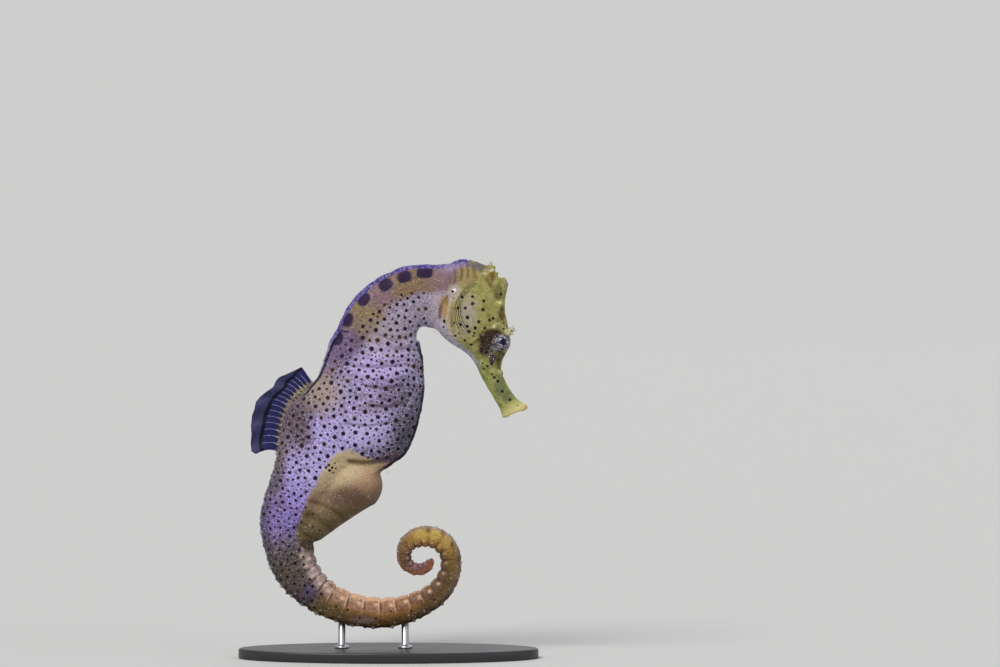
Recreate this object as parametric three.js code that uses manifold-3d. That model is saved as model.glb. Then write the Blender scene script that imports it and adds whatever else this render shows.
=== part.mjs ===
// A pot-bellied seahorse at life size, held up by two short rods on an oval base.
// Millimetres, +Z up. The snout points to +X and the animal's right side faces -Y.
// The origin is the centre of the base's underside.
//
// Neck, trunk and tail are one sweep along a spine made of arcs in the plane y = 0. The head
// and snout are a second sweep. Thin cuts part both into the lengths that a person would name.

import * as THREE from 'three';
import { mergeVertices } from 'three/addons/utils/BufferGeometryUtils.js';
import Module from 'manifold-3d';

const wasm = await Module();
wasm.setup();

// ---------------------------------------------------------------- driving dimensions

const GAP = 0.3;

// Each spine starts at [x, z] with a heading in degrees, and runs on in arcs of [length, turn].
const BODY_SPINE = {
  start: [22.0, 109.65],
  heading: 192.4,
  arcs: [
    [10, -11.9], [10, 39.2], [10, 41.6], [18, -10.6], [18, -33.1], [14, 20.0], [14, 23.5],
    [16, 42.2], [16, 33.5], [16, 28.6], [14, 28.6], [12, 52.7], [8, 58.5], [10, 75.7],
    [8, 95.9], [9, 125.4],
  ],
};
const HEAD_SPINE = {
  start: [25.7, 118.8],
  heading: -96.9,
  arcs: [[14, 11.0], [12, 17.7], [8, -1.0], [19, 24.6]],
};

// Girth along a spine: [distance along it, depth to the back, depth to the belly, half the width].
const BODY_GIRTH = [
  [0, 9.6, 8.4, 3.4], [8, 9.5, 9.6, 3.8], [16, 10.2, 8.9, 4.5], [22, 11.1, 9.7, 5.4],
  [28, 13.0, 10.7, 6.3], [34, 14.8, 13.0, 7.0], [40, 15.4, 15.3, 7.7], [48, 15.9, 17.1, 8.2],
  [56, 16.8, 18.5, 8.4], [62, 17.0, 16.2, 8.3], [68, 16.6, 14.0, 7.8], [72, 14.6, 13.2, 7.2],
  [76, 11.4, 12.2, 6.7], [80, 9.0, 11.2, 6.3], [86, 7.8, 10.3, 5.8], [94, 7.3, 9.6, 5.2],
  [104, 6.3, 8.2, 4.7], [112, 6.1, 6.3, 4.4], [124, 4.9, 4.9, 3.9], [140, 4.35, 4.35, 3.5],
  [155, 3.65, 3.65, 3.0], [167, 3.0, 3.0, 2.5], [181, 3.0, 3.0, 2.0], [189, 2.2, 2.2, 1.6],
  [198, 1.7, 1.7, 1.2], [201.5, 1.25, 1.25, 0.9], [202.8, 0.4, 0.4, 0.3],
];
// The same for the head, from its crown to the mouth: depth to the throat, then to the brow.
const HEAD_GIRTH = [
  [0, 4.5, 1.5, 1.8], [2.5, 5.8, 4.6, 2.7], [5, 7.4, 9.2, 3.7], [8, 9.0, 10.3, 4.5],
  [12, 10.1, 9.7, 5.1], [16, 11.3, 9.5, 5.5], [19, 11.0, 9.5, 5.5], [22, 8.6, 9.5, 5.2],
  [25, 5.6, 9.3, 4.4], [28, 4.1, 8.2, 3.6], [30, 3.7, 6.4, 3.1], [32, 3.5, 4.2, 2.6],
  [34, 3.4, 3.0, 2.4], [37, 3.0, 2.7, 2.2], [44, 2.8, 2.9, 2.1], [48, 4.1, 3.7, 2.3],
  [52, 4.1, 3.8, 2.2],
];
const HEAD_END = 52;

// Superellipse exponents of the section: the trunk has a flat back and a keeled belly, and the
// tail is four-sided.
const BACK_EXPONENT = 2.9;
const KEEL_EXPONENT = 1.75;
const TAIL_EXPONENT = 3.3;
const SQUARING = [60, 96];
const HEAD_EXPONENT = 2.1;

// Where the spine is cut: [name, its end along the spine]. The neck starts inside the head.
const NECK = [-4, 17];
const TRUNK_END = 66;
const TRUNK_CUTS = [['trunk_upper', 42], ['trunk_lower', TRUNK_END]];
const TAIL_TIP = 202.8;
const TAIL_CUTS = [
  ['tail_base', 86], ['tail_upper', 104], ['tail_bend', 122], ['tail_middle', 142],
  ['tail_lower', 160], ['tail_coil_outer', 174], ['tail_coil_top', 185],
  ['tail_coil_inner', 194], ['tail_tip', TAIL_TIP],
];
// The pouch seats in the first tail lengths.
const POUCHED_LENGTHS = 2;
const OLIVE_LENGTHS = 3;

// The head ends on a slanted plane from the nape to the throat, and the snout on one at its root.
const NAPE = [22.0, 120.0];
const THROAT = [13.4, 98.7];
const SNOUT_ROOT = [[34.0, 89.0], [25.8, 88.2]];
const MOUTH = [[41.7, 75.1], [34.4, 71.9]];

const EYE = { x: 34.0, y: 3.3, z: 94.6, radius: 2.5 };
const EYE_TURRET = { y: 2.7, radius: 3.1 };
const GILL_COVER = { x: 25.4, z: 103.4, radii: [6.0, 7.6], inner: 3.6, outer: 8 };

// Knobs that belong to the skull: centre, radii. A y above zero makes a pair.
const HEAD_KNOBS = [
  [[33.9, 0, 111.9], [1.7, 1.5, 2.1]],
  [[32.4, 2.2, 106.3], [1.3, 1.2, 1.5]],
  [[31.8, 3.2, 99.8], [1.3, 1.3, 1.2]],
];
// Spines: root, tip, root radius.
const SPINE_TIP_SHARE = 0.3;
const HEAD_SPINES = [
  [[34.6, 2.2, 97.8], [37.8, 2.7, 98.9], 1.6],
  [[30.6, 1.8, 91.0], [30.9, 3.7, 90.4], 0.9],
];
// The coronet is a low crest: radii along and across the head, at its root and at its tip.
const CORONET = { root: [30.2, 113.2], tip: [30.6, 118.7], radii: [3.6, 1.9], tipRadii: [0.9, 0.7] };
const CORONET_SIDES = 12;
const CORONET_STEPS = 4;

// The pouch is a drop between two balls: its upper and lower centres, radii and half widths.
const POUCH = {
  upper: [-10.1, 51.9], lower: [-22.4, 39.6], radii: [8.3, 4.6], widths: [7.8, 5.2], taper: 0.75,
};

// The foot of the dorsal fin is a curve along the ridge of the back.
const DORSAL_FIN = {
  foot: [[-22.6, 82.0], [-32.0, 78.7], [-32.8, 61.8]],
  angles: [127, 182], lengths: [6.4, 8.1], swell: 1.9, root: 1.8, thickness: 0.6, rays: 27,
};
const PECTORAL_FIN = {
  root: [15.6, 3.3, 104.4], span: [118, 238], length: 5.0, tilt: 20, thickness: 0.6,
};
// How far down the tail a fin's foot can reach.
const FIN_REACH = 100;
const ANAL_FIN = { root: [-2.0, 57.6], span: [-62, -18], length: 3.6, thickness: 0.6 };

const BASE = { length: 90, width: 40, height: 3, bevel: 0.6 };
const ROD = { radius: 1.1, collarRadius: 2.2, collarHeight: 1.0, top: 14 };
const RODS = [['stand_rod_rear', -14], ['stand_rod_front', 5]];

const BODY_SIDES = 16;
const HEAD_SIDES = 22;
const TRUNK_STEP = 2.6;
const TAIL_STEP = 1.9;
const HEAD_STEP = 2.0;
const POUCH_STEPS = 14;
const END_SWELL = 0.002;
const BASE_SIDES = 72;
const ROD_SIDES = 16;
const GILL_SIDES = 24;
const KNOB_SIDES = 10;
const EYE_SIDES = 16;
const FAN_STEPS = 10;
const CUTTER = 120;

// ---------------------------------------------------------------- spines and girths

const radians = THREE.MathUtils.degToRad;

// The point and heading at a distance along a spine.
function spineAt(spine, along) {
  let [x, z] = spine.start;
  let heading = radians(spine.heading);
  let left = along;
  for (const [length, turn] of spine.arcs) {
    const run = Math.min(left, length);
    const bend = radians(turn) * run / length;
    const radius = length / radians(turn);
    x += radius * (Math.sin(heading + bend) - Math.sin(heading));
    z += radius * (Math.cos(heading) - Math.cos(heading + bend));
    heading += bend;
    left -= run;
    if (left <= 0) break;
  }
  return { x: x + Math.cos(heading) * left, z: z + Math.sin(heading) * left, heading };
}

// A smooth curve through rows of [place, value, value, value], read at a place.
function girthAt(rows, place) {
  let i = rows.findIndex((row) => row[0] >= place);
  i = Math.min(Math.max(i, 1), rows.length - 1);
  const [before, from, to, after] = [i - 2, i - 1, i, i + 1].map(
    (k) => rows[Math.min(Math.max(k, 0), rows.length - 1)]);
  const run = to[0] - from[0];
  const t = THREE.MathUtils.clamp((place - from[0]) / run, 0, 1);
  return [1, 2, 3].map((column) => {
    const slopeIn = (to[column] - before[column]) / (to[0] - before[0]) * run;
    const slopeOut = (after[column] - from[column]) / (after[0] - from[0]) * run;
    const rise = to[column] - from[column];
    const bend = slopeIn + slopeOut - 2 * rise;
    return from[column] + t * (slopeIn + t * (3 * rise - 2 * slopeIn - slopeOut + t * bend));
  });
}

const superellipse = (value, exponent) => Math.sign(value) * Math.abs(value) ** (2 / exponent);

// Exponents of the body's section, for its back and its belly, at a distance along the spine.
function bodyExponents(along) {
  const share = THREE.MathUtils.smoothstep(along, ...SQUARING);
  return [BACK_EXPONENT, KEEL_EXPONENT].map((own) => THREE.MathUtils.lerp(own, TAIL_EXPONENT, share));
}

// ---------------------------------------------------------------- solids

// A closed body from rings of points, fanned shut at both ends.
function loft(rings) {
  const sides = rings[0].length;
  const points = rings.flat();
  const faces = [];
  for (let ring = 0; ring < rings.length - 1; ring += 1) {
    for (let side = 0; side < sides; side += 1) {
      const a = ring * sides + side;
      const b = ring * sides + (side + 1) % sides;
      faces.push(a, b, b + sides, a, b + sides, a + sides);
    }
  }
  const last = (rings.length - 1) * sides;
  for (let side = 1; side < sides - 1; side += 1) {
    faces.push(0, side + 1, side, last, last + side, last + side + 1);
  }
  const geometry = new THREE.BufferGeometry();
  geometry.setAttribute('position', new THREE.Float32BufferAttribute(points.flat(), 3));
  geometry.setIndex(faces);
  return geometry;
}

function solid(geometry) {
  const bare = geometry.index ? geometry.clone() : geometry;
  bare.deleteAttribute('normal');
  bare.deleteAttribute('uv');
  const merged = mergeVertices(bare, 1e-4);
  return new wasm.Manifold(new wasm.Mesh({
    numProp: 3,
    vertProperties: new Float32Array(merged.attributes.position.array),
    triVerts: new Uint32Array(merged.index.array),
  }));
}

function geometryOf(manifold) {
  const mesh = manifold.getMesh();
  const geometry = new THREE.BufferGeometry();
  geometry.setAttribute('position', new THREE.Float32BufferAttribute(mesh.vertProperties, 3));
  geometry.setIndex([...mesh.triVerts]);
  geometry.computeVertexNormals();
  return geometry;
}

// One ring of a sweep. `grow` widens it, for cutting a neighbour with a gap.
function ringAt(spine, girth, along, sides, exponents, grow) {
  const { x, z, heading } = spineAt(spine, along);
  const [back, belly, width] = girthAt(girth, along);
  return Array.from({ length: sides }, (_, side) => {
    const angle = -side / sides * Math.PI * 2;
    const isBack = Math.sin(angle) >= 0;
    const exponent = exponents(along)[isBack ? 0 : 1];
    const out = superellipse(Math.sin(angle), exponent) * ((isBack ? back : belly) + grow);
    const across = superellipse(Math.cos(angle), exponent) * (width + grow);
    return [x + Math.sin(heading) * out, across, z - Math.cos(heading) * out];
  });
}

function sweep(spine, girth, from, to, step, sides, exponents, grow = 0) {
  const count = Math.max(1, Math.round((to - from) / step));
  const rings = Array.from({ length: count + 1 }, (_, i) => (
    ringAt(spine, girth, THREE.MathUtils.lerp(from, to, i / count), sides, exponents, grow)));
  return solid(loft(rings));
}

function bodySweep(from, to, grow = 0) {
  const step = from < TRUNK_END ? TRUNK_STEP : TAIL_STEP;
  return sweep(BODY_SPINE, BODY_GIRTH, from, to, step, BODY_SIDES, bodyExponents, grow);
}

function headSweep(from, to, grow = 0) {
  const exponents = () => [HEAD_EXPONENT, HEAD_EXPONENT];
  return sweep(HEAD_SPINE, HEAD_GIRTH, from, to, HEAD_STEP, HEAD_SIDES, exponents, grow);
}

// Everything on the left of the line from one [x, z] point to another, moved left by `inset`.
function leftOf([fromX, fromZ], [toX, toZ], inset = 0) {
  const geometry = new THREE.BoxGeometry(CUTTER, CUTTER, CUTTER);
  geometry.translate(0, 0, CUTTER / 2 + inset);
  geometry.rotateY(-Math.atan2(toZ - fromZ, toX - fromX));
  geometry.translate(fromX, 0, fromZ);
  return solid(geometry);
}

function ball([x, y, z], [radiusX, radiusY, radiusZ], sides = KNOB_SIDES) {
  const geometry = new THREE.SphereGeometry(1, sides, Math.round(sides * 0.6));
  geometry.scale(radiusX, radiusY, radiusZ);
  geometry.translate(x, y, z);
  return solid(geometry);
}

function spike(root, tip, radius) {
  const axis = new THREE.Vector3(...tip).sub(new THREE.Vector3(...root));
  const geometry = new THREE.CylinderGeometry(radius * SPINE_TIP_SHARE, radius, axis.length(), 8);
  geometry.translate(0, axis.length() / 2, 0);
  const turn = new THREE.Quaternion().setFromUnitVectors(
    new THREE.Vector3(0, 1, 0), axis.clone().normalize());
  geometry.applyQuaternion(turn);
  geometry.translate(...root);
  return solid(geometry);
}

// A flat plate whose outline lies in the XZ plane, between two values of y.
function plate(outline, near, far) {
  const shape = new THREE.Shape(outline.map(([x, z]) => new THREE.Vector2(x, z)));
  const geometry = new THREE.ExtrudeGeometry(shape, { depth: far - near, bevelEnabled: false });
  geometry.rotateX(Math.PI / 2);
  geometry.translate(0, far, 0);
  return solid(geometry);
}

function mirrored(y, make) {
  return y === 0 ? [make(0)] : [make(-y), make(y)];
}

function joined(manifolds) {
  return manifolds.reduce((whole, next) => whole.add(next));
}

// ---------------------------------------------------------------- head

function skull() {
  const turrets = mirrored(EYE_TURRET.y, (y) => (
    ball([EYE.x, y, EYE.z], Array(3).fill(EYE_TURRET.radius), EYE_SIDES)));
  const knobs = HEAD_KNOBS.flatMap(([[x, side, z], radii]) => (
    mirrored(side, (y) => ball([x, y, z], radii))));
  const spines = HEAD_SPINES.flatMap(([root, tip, radius]) => [-1, 1].map((side) => (
    spike([root[0], side * root[1], root[2]], [tip[0], side * tip[1], tip[2]], radius))));
  return joined([headSweep(0, HEAD_END), ...turrets, ...knobs, ...spines]);
}

function gillOutline(grow) {
  return Array.from({ length: GILL_SIDES }, (_, i) => {
    const angle = i / GILL_SIDES * Math.PI * 2;
    return [
      GILL_COVER.x + (GILL_COVER.radii[0] + grow) * Math.cos(angle),
      GILL_COVER.z + (GILL_COVER.radii[1] + grow) * Math.sin(angle),
    ];
  });
}

function gillBlock(side, grow) {
  const ends = [side * (GILL_COVER.inner - grow), side * GILL_COVER.outer];
  return plate(gillOutline(grow), Math.min(...ends), Math.max(...ends));
}

function eyeball(side, grow = 0) {
  return ball([EYE.x, side * EYE.y, EYE.z], Array(3).fill(EYE.radius + grow), EYE_SIDES);
}

function coronet() {
  const { root, tip, radii, tipRadii } = CORONET;
  const rings = Array.from({ length: CORONET_STEPS + 1 }, (_, i) => {
    const share = i / CORONET_STEPS;
    const [along, across] = [0, 1].map((k) => (
      THREE.MathUtils.lerp(radii[k], tipRadii[k], Math.sqrt(share))));
    return Array.from({ length: CORONET_SIDES }, (__, side) => {
      const angle = side / CORONET_SIDES * Math.PI * 2;
      return [
        THREE.MathUtils.lerp(root[0], tip[0], share) + along * Math.cos(angle),
        across * Math.sin(angle),
        THREE.MathUtils.lerp(root[1], tip[1], share),
      ];
    });
  });
  return solid(loft(rings));
}

// ---------------------------------------------------------------- pouch and fins

// A drop from a big ball above to a small one below, as a sweep along the line between them.
function pouch(grow = 0) {
  const { upper, lower, radii, widths, taper } = POUCH;
  const line = Math.hypot(lower[0] - upper[0], lower[1] - upper[1]);
  const heading = Math.atan2(lower[1] - upper[1], lower[0] - upper[0]);
  const rings = Array.from({ length: POUCH_STEPS + 1 }, (_, i) => {
    const share = (1 - Math.cos(i / POUCH_STEPS * Math.PI)) / 2;
    const along = THREE.MathUtils.lerp(-radii[0] - grow, line + radii[1] + grow, share);
    const place = THREE.MathUtils.clamp(along / line, 0, 1) ** taper;
    const radius = THREE.MathUtils.lerp(...radii, place) + grow;
    const over = along < 0 ? along : Math.max(0, along - line);
    const swell = Math.sqrt(Math.max(END_SWELL, 1 - (over / radius) ** 2));
    const width = (THREE.MathUtils.lerp(...widths, place) + grow) * swell;
    return Array.from({ length: BODY_SIDES }, (__, side) => {
      const angle = -side / BODY_SIDES * Math.PI * 2;
      const out = radius * swell * Math.sin(angle);
      return [
        upper[0] + Math.cos(heading) * along + Math.sin(heading) * out,
        width * Math.cos(angle),
        upper[1] + Math.sin(heading) * along - Math.cos(heading) * out,
      ];
    });
  });
  return solid(loft(rings));
}

// The dorsal fin stands on the ridge of the back, its rays fanning from the neck to the tail.
function dorsalFin() {
  const { foot, angles, lengths, swell, root, thickness, rays } = DORSAL_FIN;
  const curve = new THREE.QuadraticBezierCurve(...foot.map(([x, z]) => new THREE.Vector2(x, z)));
  const feet = [];
  const tips = [];
  for (let ray = 0; ray <= rays; ray += 1) {
    const share = ray / rays;
    const { x, y: z } = curve.getPointAt(share);
    const angle = radians(THREE.MathUtils.lerp(...angles, share));
    const length = THREE.MathUtils.lerp(...lengths, share) + swell * Math.sin(Math.PI * share);
    feet.push([x - Math.cos(angle) * root, z - Math.sin(angle) * root]);
    tips.push([x + Math.cos(angle) * length, z + Math.sin(angle) * length]);
  }
  return plate([...feet, ...tips.reverse()], -thickness / 2, thickness / 2);
}

function fan([x, z], span, length) {
  const rim = Array.from({ length: FAN_STEPS + 1 }, (_, i) => {
    const angle = radians(THREE.MathUtils.lerp(...span, i / FAN_STEPS));
    return [x + length * Math.cos(angle), z + length * Math.sin(angle)];
  });
  return [[x, z], ...rim];
}

// A pectoral fin is a small fan on the side of the neck, its rim turned a little outward.
function pectoralFin(side) {
  const { root, span, length, tilt, thickness } = PECTORAL_FIN;
  const flat = plate(fan([0, 0], span, length), -thickness / 2, thickness / 2);
  const geometry = geometryOf(flat);
  geometry.rotateZ(radians(-side * tilt));
  geometry.translate(root[0], side * root[1], root[2]);
  return solid(geometry);
}

function analFin() {
  const { root, span, length, thickness } = ANAL_FIN;
  return plate(fan(root, span, length), -thickness / 2, thickness / 2);
}

// ---------------------------------------------------------------- stand

function turned(profile, segments) {
  const geometry = new THREE.LatheGeometry(profile.map(([r, h]) => new THREE.Vector2(r, h)), segments);
  geometry.rotateX(Math.PI / 2);
  return geometry;
}

function standBase() {
  const { length, width, height, bevel } = BASE;
  const radius = length / 2;
  const geometry = turned(
    [[0, 0], [radius, 0], [radius, height - bevel], [radius - bevel, height], [0, height]], BASE_SIDES);
  geometry.scale(1, width / length, 1);
  return solid(geometry);
}

function standRod(x) {
  const { radius, collarRadius, collarHeight, top } = ROD;
  const geometry = turned([
    [0, 0], [collarRadius, 0], [collarRadius, collarHeight / 2], [radius, collarHeight],
    [radius, top - BASE.height], [0, top - BASE.height],
  ], ROD_SIDES);
  geometry.translate(x, 0, BASE.height);
  return solid(geometry);
}

// ---------------------------------------------------------------- the seahorse

const group = new THREE.Group();

const SKIN_YELLOW = { color: 0xb5ad45, roughness: 0.5, metalness: 0 };
const SKIN_LILAC = { color: 0xb7a9d6, roughness: 0.5, metalness: 0 };
const SKIN_CREAM = { color: 0xd2b48a, roughness: 0.5, metalness: 0 };
const SKIN_OLIVE = { color: 0x8c8065, roughness: 0.55, metalness: 0 };
const SKIN_ORANGE = { color: 0xb0793f, roughness: 0.55, metalness: 0 };
const FIN_GREY = { color: 0x55628a, roughness: 0.4, metalness: 0 };
const EYE_SILVER = { color: 0xa7a9a4, roughness: 0.2, metalness: 0 };
const STAND_DARK = { color: 0x2a2b2e, roughness: 0.45, metalness: 0 };
const STAND_STEEL = { color: 0xb9bcc0, roughness: 0.28, metalness: 1 };

function piece(name, manifold, finish) {
  const mesh = new THREE.Mesh(geometryOf(manifold), new THREE.MeshStandardMaterial(finish));
  mesh.name = name;
  group.add(mesh);
}

function buildHead() {
  const inFront = leftOf(NAPE, THROAT, GAP / 2);
  const aboveSnout = leftOf(...SNOUT_ROOT.toReversed(), GAP / 2);
  const sockets = joined([-1, 1].map((side) => eyeball(side, GAP)));
  const gillSeats = joined([-1, 1].map((side) => gillBlock(side, GAP)));
  const whole = skull().intersect(inFront);
  piece('head', whole.intersect(aboveSnout).subtract(sockets).subtract(gillSeats), SKIN_YELLOW);
  const belowRoot = leftOf(...SNOUT_ROOT, GAP / 2);
  piece('snout', whole.intersect(belowRoot).intersect(leftOf(...MOUTH.toReversed())), SKIN_YELLOW);
  for (const [name, side] of [['right', -1], ['left', 1]]) {
    piece(`gill_cover_${name}`, whole.intersect(gillBlock(side, 0)), SKIN_YELLOW);
    piece(`eye_${name}`, eyeball(side), EYE_SILVER);
  }
  const crownClear = headSweep(0, HEAD_END, GAP).add(bodySweep(...NECK, GAP));
  piece('coronet', coronet().subtract(crownClear), SKIN_YELLOW);
}

function buildBody() {
  const behindGills = leftOf(THROAT, NAPE, GAP / 2);
  const neck = bodySweep(NECK[0], NECK[1] - GAP / 2).add(headSweep(0, HEAD_END)).intersect(behindGills);
  piece('neck', neck, SKIN_LILAC);
  const pouchClear = pouch(GAP);
  let from = NECK[1];
  for (const [name, to] of TRUNK_CUTS) {
    const length = bodySweep(from + GAP / 2, to - GAP / 2);
    piece(name, length.subtract(pouchClear), SKIN_LILAC);
    from = to;
  }
  piece('pouch', pouch(), SKIN_CREAM);
  TAIL_CUTS.forEach(([name, to], i) => {
    const end = i === TAIL_CUTS.length - 1 ? to : to - GAP / 2;
    const length = bodySweep(from + GAP / 2, end);
    const finish = i < OLIVE_LENGTHS ? SKIN_OLIVE : SKIN_ORANGE;
    piece(name, i < POUCHED_LENGTHS ? length.subtract(pouchClear) : length, finish);
    from = to;
  });
}

function buildFins() {
  const backClear = bodySweep(NECK[1], TRUNK_END, GAP).add(bodySweep(TRUNK_END, FIN_REACH, GAP));
  piece('dorsal_fin', dorsalFin().subtract(backClear), FIN_GREY);
  const neckClear = bodySweep(NECK[0], TRUNK_CUTS[0][1], GAP).add(headSweep(0, HEAD_END, GAP));
  for (const [name, side] of [['right', -1], ['left', 1]]) {
    piece(`pectoral_fin_${name}`, pectoralFin(side).subtract(neckClear), FIN_GREY);
  }
  piece('anal_fin', analFin().subtract(backClear).subtract(pouch(GAP)), FIN_GREY);
}

function buildStand() {
  piece('stand_base', standBase(), STAND_DARK);
  const tailClear = bodySweep(TRUNK_END, TAIL_TIP, GAP);
  for (const [name, x] of RODS) {
    piece(name, standRod(x).subtract(tailClear), STAND_STEEL);
  }
}

buildHead();
buildBody();
buildFins();
buildStand();

export default group;
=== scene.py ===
from math import cos, hypot, pi, radians, sin

import bpy
import numpy as np
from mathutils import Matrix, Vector, noise
from mathutils.kdtree import KDTree


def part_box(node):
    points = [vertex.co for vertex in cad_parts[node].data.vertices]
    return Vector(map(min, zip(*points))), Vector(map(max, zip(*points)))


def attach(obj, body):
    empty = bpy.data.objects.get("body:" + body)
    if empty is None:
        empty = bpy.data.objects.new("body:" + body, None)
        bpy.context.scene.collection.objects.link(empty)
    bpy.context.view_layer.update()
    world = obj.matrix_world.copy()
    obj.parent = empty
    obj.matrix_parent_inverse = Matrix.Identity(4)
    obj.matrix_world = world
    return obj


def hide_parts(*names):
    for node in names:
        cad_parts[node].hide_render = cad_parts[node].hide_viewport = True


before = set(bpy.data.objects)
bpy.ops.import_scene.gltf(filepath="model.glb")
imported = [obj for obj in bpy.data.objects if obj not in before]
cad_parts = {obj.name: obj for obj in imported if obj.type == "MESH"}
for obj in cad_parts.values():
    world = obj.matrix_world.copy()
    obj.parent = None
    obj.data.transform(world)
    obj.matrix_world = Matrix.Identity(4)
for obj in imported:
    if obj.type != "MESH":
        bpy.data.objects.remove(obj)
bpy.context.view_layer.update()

# The room: a wide pale floor under a soft white sky, a large soft light above on the left, weaker
# ones on the right and behind, and a level camera on the animal's right side.

MM = 0.001
FLOOR_RADIUS = 30.0
FLOOR_SIDES = 96
FLOOR_PALE = (0.62, 0.615, 0.605, 1)
SKY_LOW = (0.615, 0.615, 0.61, 1)
SKY_HIGH = (0.31, 0.32, 0.34, 1)
SKY_BAND, SKY_TOP = 0.12, 0.4
CAMERA_PLACE = (33.45 * MM, -1.1, 97.35 * MM)
CAMERA_LENS, CAMERA_WIDTH = 132.0, 36.0
# Lights as name, where each stands, strength, spread in degrees and colour.
LIGHTS = (("light_left", (-0.45, -0.75, 0.95), 2.35, 30, (1.0, 0.985, 0.96)),
          ("light_right", (0.8, -0.5, 0.35), 0.45, 50, (0.93, 0.96, 1.0)),
          ("light_behind", (0.15, 0.8, 0.6), 0.4, 50, (0.97, 0.98, 1.0)))


class Value:
    """A socket of a finish. Sums on it are written as Python and become Math nodes."""

    def __init__(self, finish, socket):
        self.finish, self.socket = finish, socket

    def sum(self, operation, *terms):
        return self.finish.node("ShaderNodeMath", {"operation": operation}, dict(enumerate(terms)))

    def __add__(self, other):
        return self.sum("ADD", self, other)

    def __sub__(self, other):
        return self.sum("SUBTRACT", self, other)

    def __rsub__(self, other):
        return self.sum("SUBTRACT", other, self)

    def __mul__(self, other):
        return self.sum("MULTIPLY", self, other)

    def __truediv__(self, other):
        return self.sum("DIVIDE", self, other)

    def __pow__(self, other):
        return self.sum("POWER", self, other)

    def __abs__(self):
        return self.sum("ABSOLUTE", self)

    __radd__, __rmul__ = __add__, __mul__

    def least(self, other):
        return self.sum("MINIMUM", self, other)

    def most(self, other):
        return self.sum("MAXIMUM", self, other)

    def rise(self, low, high):
        """Goes smoothly from 0 at `low` to 1 at `high`; with low above high it falls."""
        if low > high:
            return 1 - self.rise(high, low)
        return self.finish.node("ShaderNodeMapRange", {"interpolation_type": "SMOOTHSTEP"},
                                {0: self, 1: low, 2: high, 3: 0.0, 4: 1.0})


class Finish:
    """A material, with one method that makes its nodes."""

    def __init__(self, name, plain):
        self.material = bpy.data.materials.new(name)
        self.material.use_nodes = True
        self.tree = self.material.node_tree
        self.shader = self.tree.nodes["Principled BSDF"]
        for socket, value in plain.items():
            self.shader.inputs[socket].default_value = value

    def node(self, kind, settings=None, sockets=None, out=0):
        made = self.tree.nodes.new(kind)
        for name, setting in (settings or {}).items():
            if name == "stops":
                ramp = made.color_ramp.elements
                while len(ramp) < len(setting):
                    ramp.new(1.0)
                for stop, (place, colour) in zip(ramp, setting):
                    stop.position, stop.color = place, (*colour[:3], 1)
            else:
                setattr(made, name, setting)
        for name, value in (sockets or {}).items():
            if isinstance(value, Value):
                self.tree.links.new(value.socket, made.inputs[name])
            else:
                made.inputs[name].default_value = value
        return Value(self, made.outputs[out])

    def feed(self, sockets):
        for name, value in sockets.items():
            self.tree.links.new(value.socket, self.shader.inputs[name])

    def mix(self, share, low, high):
        """Goes from colour `low` to colour `high`."""
        low, high = [(*c[:3], 1) if isinstance(c, tuple) else c for c in (low, high)]
        return self.node("ShaderNodeMix", {"data_type": "RGBA"},
                         {0: share, 6: low, 7: high}, 2)

    def place(self):
        """The place on the piece, in millimetres."""
        spot = self.node("ShaderNodeTexCoord", out="Object")
        return self.node("ShaderNodeVectorMath", {"operation": "SCALE"}, {0: spot, 3: 1 / MM})

    def split(self, vector):
        parts = self.node("ShaderNodeSeparateXYZ", None, {0: vector})
        return [Value(self, socket) for socket in parts.socket.node.outputs]

    def cloud(self, place, grain, detail=2.0, rough=0.5, stretch=0.0):
        """Noise from 0 to 1 whose lumps are `grain` millimetres wide."""
        return self.node("ShaderNodeTexNoise", {"noise_dimensions": "3D"},
                         {"Vector": place, "Scale": 1 / grain, "Detail": detail,
                          "Roughness": rough, "Distortion": stretch})

    def cells(self, place, pitch, loose=1.0, feature="F1", out="Distance"):
        """Distance to the nearest of scattered points `pitch` millimetres apart."""
        return self.node("ShaderNodeTexVoronoi", {"feature": feature},
                         {"Vector": place, "Scale": 1 / pitch, "Randomness": loose}, out)

    def bump(self, height, deep, under=None):
        """A normal for a relief `deep` millimetres high."""
        sockets = {"Height": height, "Distance": deep * MM, "Strength": 1.0}
        if under:
            sockets["Normal"] = under
        return self.node("ShaderNodeBump", None, sockets)


def add_mesh(name, points, faces, smooth=True):
    """A mesh object from points in millimetres."""
    mesh = bpy.data.meshes.new(name)
    mesh.from_pydata([tuple(c * MM for c in point) for point in points], [], faces)
    mesh.validate()
    mesh.polygons.foreach_set("use_smooth", [smooth] * len(mesh.polygons))
    piece = bpy.data.objects.new(name, mesh)
    bpy.context.scene.collection.objects.link(piece)
    return piece


def add_light(name, towards, strength, spread, colour):
    """A distant soft light that shines from `towards` on the whole room."""
    lamp = bpy.data.lights.new(name, "SUN")
    lamp.energy, lamp.angle, lamp.color = strength, radians(spread), colour
    holder = bpy.data.objects.new(name, lamp)
    holder.rotation_euler = Vector(towards).to_track_quat("Z", "Y").to_euler()
    bpy.context.scene.collection.objects.link(holder)


floor_turns = [i / FLOOR_SIDES * 2 * pi for i in range(FLOOR_SIDES)]
rim = [(cos(a) * FLOOR_RADIUS / MM, sin(a) * FLOOR_RADIUS / MM, 0) for a in floor_turns]
floor = add_mesh("floor", rim, [list(range(FLOOR_SIDES))], smooth=False)
paper = Finish("floor_paper", {"Roughness": 0.85, "Specular IOR Level": 0.15})
fibre = paper.cloud(paper.place(), 6.0, 4.0)
paper.feed({"Base Color": paper.mix(fibre, FLOOR_PALE, tuple(c * 0.985 for c in FLOOR_PALE[:3])),
            "Normal": paper.bump(fibre, 0.02)})
floor.data.materials.append(paper.material)

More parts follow.
